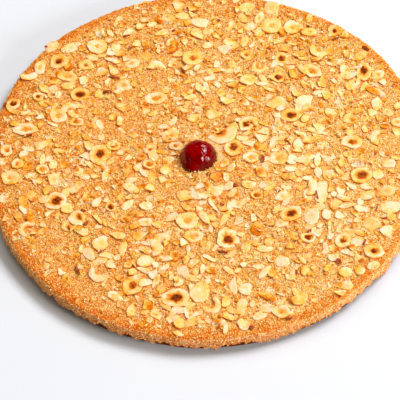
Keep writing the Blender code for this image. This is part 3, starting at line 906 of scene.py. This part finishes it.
solids = []
for *place, char in HALF_SLICES:
    place = in_metres(*place)
    take_place(*place)
    solid = half_slice(place[2], place[3], char, rng)
    solids.append(set_down(solid, place, any_lean(rng, NUT_TILT), 0.2 * MM))
for place in CRESCENTS:
    place = in_metres(*place)
    take_place(*place)
    points, inward = crescent(place[2], place[3])
    faces = ring_faces(len(CRESCENT_SECTION), CRESCENT_STATIONS)
    toast = wall_toast(points, (inward >= 0.1) & (inward <= 0.95)) + 0.1
    hollow = np.clip(inward - 0.5, 0, 1) * 0.8
    solids.append(set_down((points, faces, toast, hollow), place, any_lean(rng, NUT_TILT)))
broken = join_solids("broken_slices", solids, hazelnut)

# ---- Splinters and slivers ----------------------------------------------------------------------------
# Long flat shards, pointed at both ends, where kernels split along their grain. They lie flat on the
# dough, turned every way, with shorter slivers between them.

# right, back, length, width, turn (mm, degrees).
SPLINTERS = [
    (-96, 13, 14, 4, 40), (-66, 27, 10, 4, 90), (-47, -35, 10, 5, 50), (59, -6, 12, 5, 75),
    (65, -7, 12, 4, 80), (78, -36, 10, 4, -30), (9, -47, 12, 4, 60), (-3, -46, 12, 5, -60),
    (21, -68, 9, 4, 80), (31, -70, 11, 5, 0), (-12, -88, 11, 4, -25), (-50, -65, 11, 5, 75),
    (-46, -108, 10, 5, 75), (30, -86, 12, 4, 55), (46, -88, 9, 4, 85), (47, -101, 9, 4, -65),
]
FURTHER_SPLINTERS = [
    (-45, -17, 8, 4, 15), (-88, 7, 6, 4, 0), (-60, -13, 10, 4, 80), (54, 5, 9, 6, 80),
    (79, -10, 8, 4, 80), (84, -6, 8, 3, 80), (74, -39, 7, 4, 0), (-17, -110, 9, 4, 10),
    (10, -84, 9, 4, -40), (22, -107, 6, 3, 80), (53, -86, 8, 5, 75), (52, -79, 6, 3, -60),
    (86, -61, 8, 4, -30), (-20, -125, 7, 3, -20), (35, 48, 6, 3, 80), (36, 56, 9, 4, -60),
    (60, 63, 12, 4, -60), (14, -11, 8, 4, 60), (36, -26, 9, 4, 35), (-14, -28, 6, 4, 10),
    (66, 14, 9, 4, -10), (-72, -13, 8, 4, -10), (-83, -24, 7, 5, 60),
]
SPREAD_REACH = 0.1255
EDGE_THINNING = 0.006
NUT_CLEARANCE = 0.0008
NUTS_KEEP_OFF = 0.0015
SPREAD_TRIES = 80  # places tried for each piece that is laid

# Small pieces strewn by a seeded rule: seed, count, shortest and longest length, width as a share of it.
SLIVERS = (29, 28, (0.0055, 0.0085), (0.4, 0.55))
CHIPS = (31, 78, (0.0028, 0.0048), (0.6, 0.95))

# Patches left nearly bare of nuts: right, back, radius, in mm.
BARE_PATCHES = [
    (-94, -66, 26), (-74, -94, 16), (60, -92, 15), (58, -112, 16), (107, 4, 14), (-68, -24, 9),
    (-44, 34, 12), (-84, 16, 9), (-40, 116, 15), (-14, -20, 9), (-10, -122, 12), (4, -84, 8),
    (34, -98, 8), (-108, 62, 10), (-72, 106, 14), (-48, 20, 14), (-33, 62, 11), (14, 40, 12),
    (38, 27, 10), (10, 17, 9), (59, -68, 11), (20, 71, 9), (-71, -40, 8), (-28, -24, 9),
    (52, 12, 7), (-52, 78, 8), (31, -44, 7),
]


def nut_cover(x, y):
    """Share of the nuts kept at a place: few in the bare patches and few near the edge."""
    cover = min(1.0, max(0.0, (SPREAD_REACH - math.hypot(x, y)) / EDGE_THINNING))
    for apart in shares_from(BARE_PATCHES, x, y):
        cover *= min(1.0, max(0.06, apart - 0.1))
    return cover


def any_place(rng):
    """A place in the square round the strewn part of the top."""
    return rng.uniform(-SPREAD_REACH, SPREAD_REACH), rng.uniform(-SPREAD_REACH, SPREAD_REACH)


def spread(seed, count, lengths, widths, taken):
    """(x, y, length, width, turn) of like pieces, clear of the cherry and of every piece already laid."""
    rng = random.Random(seed)
    laid = []
    for _ in range(count * SPREAD_TRIES):
        if len(laid) == count:
            break
        x, y = any_place(rng)
        length = rng.uniform(*lengths)
        width = length * rng.uniform(*widths)
        turn = rng.uniform(0, math.pi)
        if rng.random() > nut_cover(x, y):
            continue
        reach = length / 2
        if all(
            math.hypot(x - right, y - back) > reach + radius + NUT_CLEARANCE
            for right, back, radius in taken
        ):
            taken.append((x, y, reach))
            laid.append((x, y, length, width, turn))
    return laid


def splinter(length, width, rng):
    """A flat shard: a jagged outline, steep sides and a tilted cut face."""
    corners = [(-0.5, 0.05), (-0.2, 0.5), (0.25, 0.42), (0.5, -0.08), (0.15, -0.5), (-0.3, -0.4)]
    outline = []
    for (x, y), (x_after, y_after) in zip(corners, corners[1:] + corners[:1]):
        outline.append((x * rng.uniform(0.92, 1.04), y * rng.uniform(0.85, 1.05)))
        outline.append(((x + x_after) * rng.uniform(0.5, 0.58), (y + y_after) * rng.uniform(0.5, 0.6)))
    outline = np.array(outline) * (length, width)
    rise = NUT_RISE * rng.uniform(0.8, 1.25)
    levels = [(0.93, -NUT_SINK), (1.0, 0.25 * rise), (0.94, 0.75 * rise), (0.76, rise)]
    points = ring_points(outline, levels)
    toast = wall_toast(points, points[:, 2] > 0.6 * rise)
    toast = toast + uneven_toast(points, length, rng) + rng.uniform(0.0, 0.45)
    ramp = 1 + rng.choice((-1, 1)) * 0.5 * points[:, 1] / width
    points[:, 2] = np.where(points[:, 2] > 0, points[:, 2] * ramp, points[:, 2])
    return roughened(points, 0.1 * MM), ring_faces(len(outline), len(levels)), toast, 0.0


taken = [(*CHERRY_PLACE, CHERRY_RADIUS + NUTS_KEEP_OFF)]
for right, back, length, width, *_ in PITTED_SLICES + CAPS + CRESCENTS + SPLINTERS:
    taken.append((right * MM, back * MM, width * MM / 2))
sliver_places = spread(*SLIVERS, taken)
chip_places = spread(*CHIPS, taken)
solids = []
splinter_places = [in_metres(*place) for place in SPLINTERS + FURTHER_SPLINTERS]
for place in splinter_places + sliver_places:
    take_place(*place)
    solid = splinter(place[2], place[3], rng)
    solids.append(set_down(solid, place, any_lean(rng, NUT_TILT)))
splinters = join_solids("hazelnut_splinters", solids, hazelnut, 25)
for place in chip_places:
    take_place(*place)

# ---- Broken flakes ------------------------------------------------------------------------------------
# Parts of broken slices, the kernel's round on one edge and straight breaks on the others. They lie
# between the whole slices and lean on them.
FLAKE_SIDES = 18
FLAKES_BARE = 0.2  # no flake shows where the dough is smeared smoother than this
PILED = 0.08  # a flake with more than this share of it on other nuts leans on them
PILE_LIFT = 0.0003
PILE_LEAN = math.radians(12)
SCATTER_TRIES = 60  # places tried for each piece that is laid

# Strewn by a seeded rule: seed, count, shortest and longest length, width as a share of it, and how much
# of a piece may lie on other nuts. The second kind lies only where the flakes are thick.
FLAKES = (53, 520, (0.0050, 0.0112), (0.35, 0.85), 0.4)
CREAM_FLAKES = (61, 150, (0.0050, 0.0110), (0.35, 0.85), 0.65)

# Where the flakes lie thickest and palest: right, back, radius, in mm.
CREAM_PATCHES = [
    (-55, 75, 10), (51, 68, 10), (96, 58, 14), (-86, 56, 9), (6, 52, 16), (80, 48, 9), (49, 30, 9),
    (-26, 15, 8), (33, 12, 8), (-63, -2, 11), (-26, -4, 8), (60, -9, 17), (76, -28, 9), (2, -34, 13),
    (45, -44, 9), (88, -47, 9), (72, -64, 14), (-34, -78, 12), (-14, -95, 16), (-8, -111, 11),
]
CREAM_PALER = 0.3  # how much less toasted the flakes are there
# (share of the outline, height in rises) from the sunk underside to the middle of the face.
FLAKE_LEVELS = [(0.94, -0.7), (1.0, 0.0), (0.99, 0.75), (0.94, 1.0), (0.7, 1.02), (0.45, 0.98), (0.2, 0.95)]


def creaminess(x, y):
    """0 to 1: how thick and pale the flakes lie at a place."""
    if math.hypot(x, y) > SPREAD_REACH - 4 * MM:
        return 0.0
    return math.exp(-(min(shares_from(CREAM_PATCHES, x, y)) ** 4))


def scatter(seed, count, lengths, widths, most_overlap, cover=nut_cover):
    """(x, y, length, width, turn, overlap) of like pieces that may lie partly on others."""
    rng = random.Random(seed)
    laid = []
    for _ in range(count * SCATTER_TRIES):
        if len(laid) == count:
            break
        x, y = any_place(rng)
        length = rng.uniform(*lengths)
        place = (x, y, length, length * rng.uniform(*widths), rng.uniform(0, math.pi))
        if rng.random() > cover(x, y):
            continue
        overlap = share_taken(*place)
        if overlap <= most_overlap:
            take_place(*place)
            laid.append((*place, overlap))
    return laid


def flake(length, width, paler, rng):
    """A thin flake with several straight breaks and, on some, a brown patch from the hollow."""
    rise = NUT_RISE * rng.uniform(0.5, 0.9)
    outline = kernel_outline(length, width, FLAKE_SIDES, rng, 0.08)
    for _ in range(rng.choice((2, 3, 3, 4))):
        outline = broken_off(outline, rng, 0.3, 0.75)
    outline -= outline.mean(axis=0)
    levels = [(share, height * rise) for share, height in FLAKE_LEVELS]
    points = roughened(ring_points(outline, levels), 0.24 * MM)
    top = np.repeat([i > 2 for i in range(len(levels))], FLAKE_SIDES)
    middle = outline[rng.randrange(FLAKE_SIDES)] * rng.uniform(0.3, 1.1)
    apart = np.hypot(*(points[:, :2] - middle).T)
    near = np.exp(-((apart / (rng.uniform(1.6, 3.2) * MM)) ** 2))
    hollow = np.where(top, near, 0.6 * near) * rng.choice((0.0, 0.0, 0.0, 0.1, 0.2, 0.3, 0.5))
    points[:, 2] -= np.where(top, 0.3 * rise * near, 0.0)
    toast = wall_toast(points, top) + uneven_toast(points, length, rng)
    toast = toast + rng.uniform(0.0, 1.0) ** 1.3 * 0.75 - 0.02 - paler
    return points, ring_faces(FLAKE_SIDES, len(levels)), toast, hollow


solids = []
for *place, overlap in scatter(*FLAKES) + scatter(*CREAM_FLAKES, creaminess):
    x, y, length, width, _ = place
    if smeared(x, y) > FLAKES_BARE:
        continue
    solid = flake(length, width, CREAM_PALER * creaminess(x, y), rng)
    most_lean, lift = PILE_LEAN, PILE_LIFT
    if overlap <= PILED:
        most_lean, lift = 1.5 * NUT_TILT, rng.uniform(-0.5, 0.05) * MM
    solids.append(set_down(solid, place, any_lean(rng, most_lean), lift))
flakes = join_solids("hazelnut_flakes", solids, hazelnut, 35)

# ---- Sunk flakes --------------------------------------------------------------------------------------
# Flakes that went down into the soft dough before it set, so that only parts of them show between the
# grains of the crust.
SUNK_COUNT = 420
SUNK_IN_BARE = 0.08  # share of them that also lie in the bare patches
SUNK_COVERED = 0.35  # the most of one that may lie under other nuts

solids = []
while len(solids) < SUNK_COUNT:
    x, y = any_place(rng)
    length = rng.uniform(5, 12) * MM
    turn = rng.uniform(0, 2 * math.pi)
    place = (x, y, length, length * rng.uniform(0.4, 0.9), turn)
    if rng.random() > nut_cover(x, y) + SUNK_IN_BARE or math.hypot(x, y) > SPREAD_REACH:
        continue
    if share_taken(*place) > SUNK_COVERED or smeared(x, y) > FLAKES_BARE:
        continue
    solid = flake(length, place[3], CREAM_PALER * creaminess(x, y), rng)
    lean = any_lean(rng, NUT_TILT)
    solids.append(set_down(solid, place, lean, rng.uniform(-0.6, -0.35) * MM))
sunk = join_solids("sunk_flakes", solids, hazelnut, 35)

# ---- Chopped hazelnut ---------------------------------------------------------------------------------
# Kernels chopped into angular bits, from 5 mm down to crumbs. They were scattered among the slices and
# baked half sunk in the crust.
BASE_SHAPES = 28
BIT_THICKEST = 0.0022
BITS_BARE = 0.3  # no bit or grain stands where the dough is smeared smoother than this
ON_NUTS = 0.1  # a bit with at least this share of it on other nuts stands on them, not sunk

# Seed, count, lengths, widths and most overlap, as for the flakes.
CHOPPED = (37, 520, (0.0026, 0.0050), (0.45, 0.9), 0.35)
FINE_BITS = (43, 900, (0.0014, 0.0028), (0.5, 0.95), 0.35)


def angular_shape(rng, corners):
    """Points and faces of a random convex lump one unit across."""
    shape = bmesh.new()
    for _ in range(corners):
        direction = Vector((rng.gauss(0, 1), rng.gauss(0, 1), rng.gauss(0, 1))).normalized()
        shape.verts.new(0.5 * direction * rng.uniform(0.82, 1.0))
    bmesh.ops.convex_hull(shape, input=shape.verts)
    inner = [vert for vert in shape.verts if not vert.link_faces]
    bmesh.ops.delete(shape, geom=inner, context="VERTS")
    bmesh.ops.recalc_face_normals(shape, faces=shape.faces)
    shape.verts.index_update()
    points = np.array([vert.co[:] for vert in shape.verts])
    faces = [tuple(vert.index for vert in face.verts) for face in shape.faces]
    shape.free()
    return points, faces


def bit(shapes, x, y, length, width, height, turn, lean, sunk, rng):
    """One bit of the given size, sunk by a share of its height."""
    points, faces = rng.choice(shapes)
    points = points * (length, width, height)
    return lay(points, x, y, turn, any_lean(rng, lean), (0.5 - sunk) * height), faces


chip_shapes = [angular_shape(rng, 9) for _ in range(BASE_SHAPES)]
chips = [(*place, 0.0) for place in chip_places]
chips += scatter(*CHOPPED)
chips += scatter(*FINE_BITS)
solids = []
for x, y, length, width, turn, overlap in chips:
    if smeared(x, y) > BITS_BARE:
        continue
    height = min(width, BIT_THICKEST) * rng.uniform(0.5, 0.8)
    sunk = rng.uniform(0.2, 0.5) if overlap < ON_NUTS else -0.2
    solid = bit(chip_shapes, x, y, length, width, height, turn, 0.35, sunk, rng)
    toast = rng.uniform(0, 1) ** 1.4 * 0.85 + 0.08
    hollow = rng.choice((0,) * 14 + (0.2, 0.3))
    solids.append((*solid, toast, hollow))
chopped = join_solids("chopped_hazelnut", solids, hazelnut, 20)

# ---- Skins --------------------------------------------------------------------------------------------
# Curled flakes of the kernels' papery brown skin, rubbed off when they were roasted and caught between
# the nuts. Darker crumbs of it lie in the deepest hollows.
SKIN_SIDES = 14
PIT_SKINS = 5  # crumbs of skin in each dark hollow
DARK_PIT = 0.7
# (share of the outline, height in mm) from the underside to the middle.
SKIN_LEVELS = [(0.85, -0.3), (1.0, 0.35), (0.93, 0.5), (0.5, 0.6), (0.1, 0.55)]

# right, back, length, width, turn (mm, degrees).
SKINS = [
    (-58, 51, 6, 1.5, -5), (-54, 62, 7, 1.5, -15), (-95.5, 89.5, 2, 1.5, 0), (-46, 95, 5, 1.2, 20),
    (-44, 85, 2.5, 2, 0), (-4, 113, 2, 2, 0), (-8, 116, 2, 1.5, 0), (11, 105, 2.5, 1.2, 0),
    (-17, 98, 3, 1.5, 30), (-12, 65, 5, 1.5, -50), (46, 57, 4, 2, 0), (100, 78, 6, 1.4, -40),
    (82, 86.5, 5, 1.2, 20), (66, 97.5, 2.5, 1.2, 0), (33, -5, 5, 2.5, 90), (16, -24, 3, 2.5, 0),
    (8, -37, 4, 2.2, 90), (1, -15, 3, 1.3, 20), (72.5, -80.5, 4, 3, 90), (79, -71, 2, 1, 0),
    (57, -59, 4, 1.5, 30), (48, -87, 5, 1.2, 90), (42, -118, 4, 1.2, 10), (-76, -80, 7, 1.4, -65),
    (-63, -67, 2, 1.6, 0), (101, -51.5, 2, 1.2, 0), (21, -123, 3, 2.5, 0), (7, -71, 6, 1.4, -10),
    (88, -68, 5, 1.4, 60), (97, -44, 4, 1.0, 70), (-106, 20, 6, 1.4, 5), (-71, -47, 4, 2, 70),
    (-73, -38, 4, 2, 20), (63, -33, 7, 1.2, 100), (-120, 45, 3, 2, 80), (-81, -50, 4, 1.3, 100),
]


def skin_material():
    """Thin brown skin, blotched from dark to amber, with a slight sheen."""
    material, shader = new_material("hazelnut_skin")
    blotch = add_noise(material, 1.2 * MM, 3.0, 0.6)
    colour = add_ramp(material, blotch, (0.3, 108, 38, 6), (0.55, 150, 62, 14), (0.75, 200, 110, 46))
    finish_surface(material, shader, colour, 0.3, 0.2, add_noise(material, 0.6 * MM, 2.0), 0.08 * MM)
    return material


def skin(length, width, rng):
    """A thin flake whose long sides curl up."""
    outline = kernel_outline(length, width, SKIN_SIDES, rng, 0.2)
    points = ring_points(outline, [(share, height * MM) for share, height in SKIN_LEVELS])
    points[:, 2] += 0.4 * MM * rng.uniform(0.3, 1.0) * (points[:, 1] / (0.5 * width)) ** 2
    points = roughened(points, 0.3 * MM, 1.2 * MM)
    return points, ring_faces(SKIN_SIDES, len(SKIN_LEVELS)), 0.0, 0.0


solids = []
for place in SKINS:
    place = in_metres(*place)
    solids.append(set_down(skin(place[2], place[3], rng), place, lift=0.5 * MM))
for right, back, _, _, _, pit, char in PITTED_SLICES:
    for _ in range(PIT_SKINS if char > DARK_PIT else 0):
        x = (right + rng.uniform(-0.36, 0.36) * pit) * MM
        y = (back + rng.uniform(-0.36, 0.36) * pit) * MM
        size = rng.uniform(0.7, 1.5) * MM
        turn = rng.uniform(0, ANY_TURN)
        solid = bit(chip_shapes, x, y, size, 0.6 * size, 0.5 * size, turn, 0.8, -0.4, rng)
        solids.append((*solid, 0.0, 0.0))
skins = join_solids("hazelnut_skins", solids, skin_material(), 50)

# ---- Loose grains -------------------------------------------------------------------------------------
# Coarse semolina grains that stand proud of the crust, lie over the nuts' edges and are heaped round the
# cherry where it was pressed in, and fine nut meal among them.
GRAIN_COUNT = 13600
GRAIN_REACH = 0.1305
GRAINS_ON_NUTS = 0.03  # share kept of the grains that fall on nuts
EDGE_GRAIN_COUNT = 5600
CHERRY_GRAIN_COUNT = 240
HEAP_TURN = math.radians(235)  # the side of the cherry where most grains are heaped
HEAP_SPREAD = math.radians(75)
HEAP_WIDTH = 0.0016
BROWN_RIM_START = 0.119
BROWN_RIM_WIDTH = 0.009
LEFT_TOAST = 1.0  # how much browner the grains are for each metre to the left
MEAL_COUNT = 1800


def grain_material():
    """Semolina grains by their toasting, from pale to deep amber; light shines a little way in."""
    material, shader = new_material("semolina_grains")
    toast = stepped(material, point_mark(material, "toast"), 0.0, 1.4)
    colour = add_ramp(
        material, toast, (0.0, 250, 226, 172), (0.29, 244, 196, 110), (0.57, 236, 156, 46),
        (0.72, 202, 101, 4), (1.0, 184, 86, 0),
    )
    fine = add_noise(material, 0.3 * MM, 2.0)
    finish_surface(material, shader, colour, 0.5, CRUMB_GLOSS, fine, 0.05 * MM)
    let_light_in(shader, 0.4, (1.0, 0.5, 0.2), 1.0 * MM)
    return material


def anywhere_on_top(rng, reach):
    """A place on the round top, as likely here as there."""
    turn, share = rng.uniform(0, 2 * math.pi), math.sqrt(rng.random())
    return reach * share * math.cos(turn), reach * share * math.sin(turn)


def is_bare(x, y):
    """No nut lies here."""
    return not nut_map[int(y / NUT_MAP_STEP) + NUT_MAP_HALF, int(x / NUT_MAP_STEP) + NUT_MAP_HALF]


def past_rim(x, y):
    """How far a place lies past the end of the flat top, or before it, below 0."""
    return math.hypot(x, y) - float(outline_radius(math.atan2(y, x))) + SIDE_LEAN + EDGE_ROUND


def grain(x, y, size, turn, sunk):
    """A grain a little longer than wide, sunk by a share of its height."""
    return bit(grain_shapes, x, y, size * 1.25, size, size * 0.85, turn, 0.5, sunk, rng)


grain_shapes = [angular_shape(rng, 7) for _ in range(BASE_SHAPES)]
solids = []
while len(solids) < GRAIN_COUNT:
    x, y = anywhere_on_top(rng, GRAIN_REACH)
    if smeared(x, y) > BITS_BARE or (not is_bare(x, y) and rng.random() > GRAINS_ON_NUTS):
        continue
    beyond = past_rim(x, y)
    if beyond > 0.7 * EDGE_ROUND:
        continue
    size = rng.uniform(0.55, 1.05) * MM
    drop = 0.45 * max(0.0, beyond) / (0.85 * size)
    sunk = rng.uniform(0.1, 0.5) + drop
    solid = grain(x, y, size, rng.uniform(0, ANY_TURN), sunk)
    near_rim = min(1.0, max(0.0, (math.hypot(x, y) - BROWN_RIM_START) / BROWN_RIM_WIDTH))
    toast = rng.uniform(-0.15, 1.15 + 0.4 * near_rim) + 0.1 * near_rim - LEFT_TOAST * x
    solids.append((*solid, toast, 0.0))

inside = nut_map.copy()
for axis in (0, 1):
    for shift in (3, -3):
        inside &= np.roll(nut_map, shift, axis)
nut_edges = np.argwhere(nut_map & ~inside)
for row, column in rng.choices(nut_edges.tolist(), k=EDGE_GRAIN_COUNT):
    x = (column - NUT_MAP_HALF + rng.random()) * NUT_MAP_STEP
    y = (row - NUT_MAP_HALF + rng.random()) * NUT_MAP_STEP
    size = rng.uniform(0.5, 1.0) * MM
    apart = math.hypot(x - CHERRY_PLACE[0], y - CHERRY_PLACE[1])
    low, high = (0.1, 0.5) if apart < CHERRY_RADIUS + HEAP_WIDTH else (0.4, 1.1)
    sunk = -rng.uniform(low, high)
    solid = grain(x, y, size, rng.uniform(0, ANY_TURN), sunk)
    solids.append((*solid, rng.uniform(0, 1), 0.0))

for _ in range(CHERRY_GRAIN_COUNT):
    turn = rng.gauss(HEAP_TURN, HEAP_SPREAD)
    reach = CHERRY_RADIUS + rng.uniform(-0.1, 1.3) * MM
    x = CHERRY_PLACE[0] + reach * math.cos(turn)
    y = CHERRY_PLACE[1] + reach * math.sin(turn)
    size = rng.uniform(0.7, 1.3) * MM
    solid = grain(x, y, size, rng.uniform(0, ANY_TURN), rng.uniform(-1.0, 0.3))
    solids.append((*solid, rng.uniform(0, 0.8), 0.0))
grains = join_solids("semolina_grains", solids, grain_material(), 30)

solids = []
while len(solids) < MEAL_COUNT:
    x, y = anywhere_on_top(rng, SPREAD_REACH)
    if rng.random() > nut_cover(x, y) or not is_bare(x, y) or smeared(x, y) > BITS_BARE:
        continue
    length = rng.uniform(0.8, 1.7) * MM
    width = length * rng.uniform(0.5, 0.95)
    turn = rng.uniform(0, ANY_TURN)
    solid = bit(grain_shapes, x, y, length, width, 0.7 * width, turn, 0.4, 0.25, rng)
    solids.append((*solid, rng.uniform(0, 0.6), 0.0))
meal = join_solids("hazelnut_meal", solids, hazelnut, 25)

# ---- Side crumbs --------------------------------------------------------------------------------------
# Crumbs of the torn side, one by one on its pale band and in small clumps that hang from the lip. They
# cling where the cake was loosened from its pan.
SIDE_CRUMB_COUNT = 3200
HANGING_CLUMPS = 90


def side_crumb_material():
    """Pale crumb, some of it browned."""
    material, shader = new_material("side_crumbs")
    toast = point_mark(material, "toast")
    colour = add_ramp(material, toast, (0.0, 255, 222, 160), (0.5, 254, 184, 106), (1.0, 216, 114, 44))
    fine = add_noise(material, 0.3 * MM, 2.0)
    finish_surface(material, shader, colour, 0.6, CRUMB_GLOSS, fine, 0.05 * MM)
    return material


def crumb_on_side(turn, height, size):
    """One crumb at a place on the side."""
    insets, heights = zip(*side_profile(turn))
    reach = float(outline_radius(turn) - np.interp(height, heights, insets))
    points, faces = rng.choice(grain_shapes)
    points = lay(points * (size * 1.2, size, size), 0.0, 0.0, rng.uniform(0, ANY_TURN), any_lean(rng, 1.0))
    points -= (0.0, 0.0, float(top_height(0.0, 0.0)))
    points += (reach * math.cos(turn), reach * math.sin(turn), height)
    return points, faces, rng.uniform(0, 1), 0.0


solids = []
for _ in range(SIDE_CRUMB_COUNT):
    turn = rng.uniform(0, 2 * math.pi)
    height = rng.uniform(lip_at(turn) - 0.2 * MM, RIM_HEIGHT - 0.6 * MM)
    solids.append(crumb_on_side(turn, height, rng.uniform(0.6, 1.4) * MM))
for _ in range(HANGING_CLUMPS):
    middle = rng.uniform(0, 2 * math.pi)
    drop = rng.uniform(0.8, 3.4) * MM
    for _ in range(rng.randint(4, 11)):
        turn = (middle + rng.gauss(0, 0.9) * MM / CAKE_RADIUS) % (2 * math.pi)
        height = max(0.8 * MM, lip_at(turn) - drop * rng.random() ** 0.7)
        solids.append(crumb_on_side(turn, height, rng.uniform(0.8, 1.6) * MM))
side_crumbs = join_solids("side_crumbs", solids, side_crumb_material(), 30)

# ---- Studio -------------------------------------------------------------------------------------------
# A plain pale floor under three soft lights: the key from behind on the right, a wide one overhead and a
# low one from the front right, within a warm and even surround.
FLOOR_SIZE = 8.0
LIGHT_DISTANCE = 3.0
# Name, direction to the light, power, width and height, colour, and if it mirrors in what is glossy.
LIGHTS = [
    ("key_light", (0.56, 0.30, 0.77), 95.0, (1.5, 0.95), (0.96, 0.972, 0.97), True),
    ("top_light", (0.0, 0.45, 0.88), 36.0, (2.6, 2.6), (0.98, 0.955, 0.87), False),
    ("front_light", (0.80, -0.52, 0.36), 70.0, (1.1, 0.8), (0.98, 0.97, 0.92), True),
]
SURROUND_COLOUR = (1.0, 0.88, 0.65, 1.0)
SURROUND_STRENGTH = 0.31


def floor_material():
    """Matt and nearly white, with the faintest drift."""
    material, shader = new_material("pale_floor")
    colour = add_ramp(material, add_noise(material, 0.6, 2.0), (0.0, 201, 204, 214), (1.0, 205, 208, 218))
    material.node_tree.links.new(colour, shader.inputs["Base Color"])
    shader.inputs["Roughness"].default_value = 0.7
    return material


floor_shape = bmesh.new()
bmesh.ops.create_grid(floor_shape, x_segments=1, y_segments=1, size=FLOOR_SIZE / 2)
floor_mesh = bpy.data.meshes.new("floor")
floor_shape.to_mesh(floor_mesh)
floor_shape.free()
floor = add_object("floor", floor_mesh, floor_material())
floor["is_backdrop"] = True

for name, direction, power, size, colour, mirrors in LIGHTS:
    light = add_object(name, bpy.data.lights.new(name, "AREA"))
    light.data.shape = "RECTANGLE"
    light.data.size, light.data.size_y = size
    light.data.energy = power
    light.data.color = colour
    light.location = Vector(direction).normalized() * LIGHT_DISTANCE
    light.rotation_mode = "QUATERNION"
    light.rotation_quaternion = (-light.location).to_track_quat("-Z", "Y")
    light.visible_glossy = mirrors

surround = bpy.data.worlds.new("surround")
surround.use_nodes = True
background = surround.node_tree.nodes["Background"]
background.inputs["Color"].default_value = SURROUND_COLOUR
background.inputs["Strength"].default_value = SURROUND_STRENGTH
surround.cycles_visibility.glossy = False  # so only the key and the front light mirror in the cherry
bpy.context.scene.world = surround
bpy.context.scene.view_settings.view_transform = "Standard"

low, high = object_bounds()
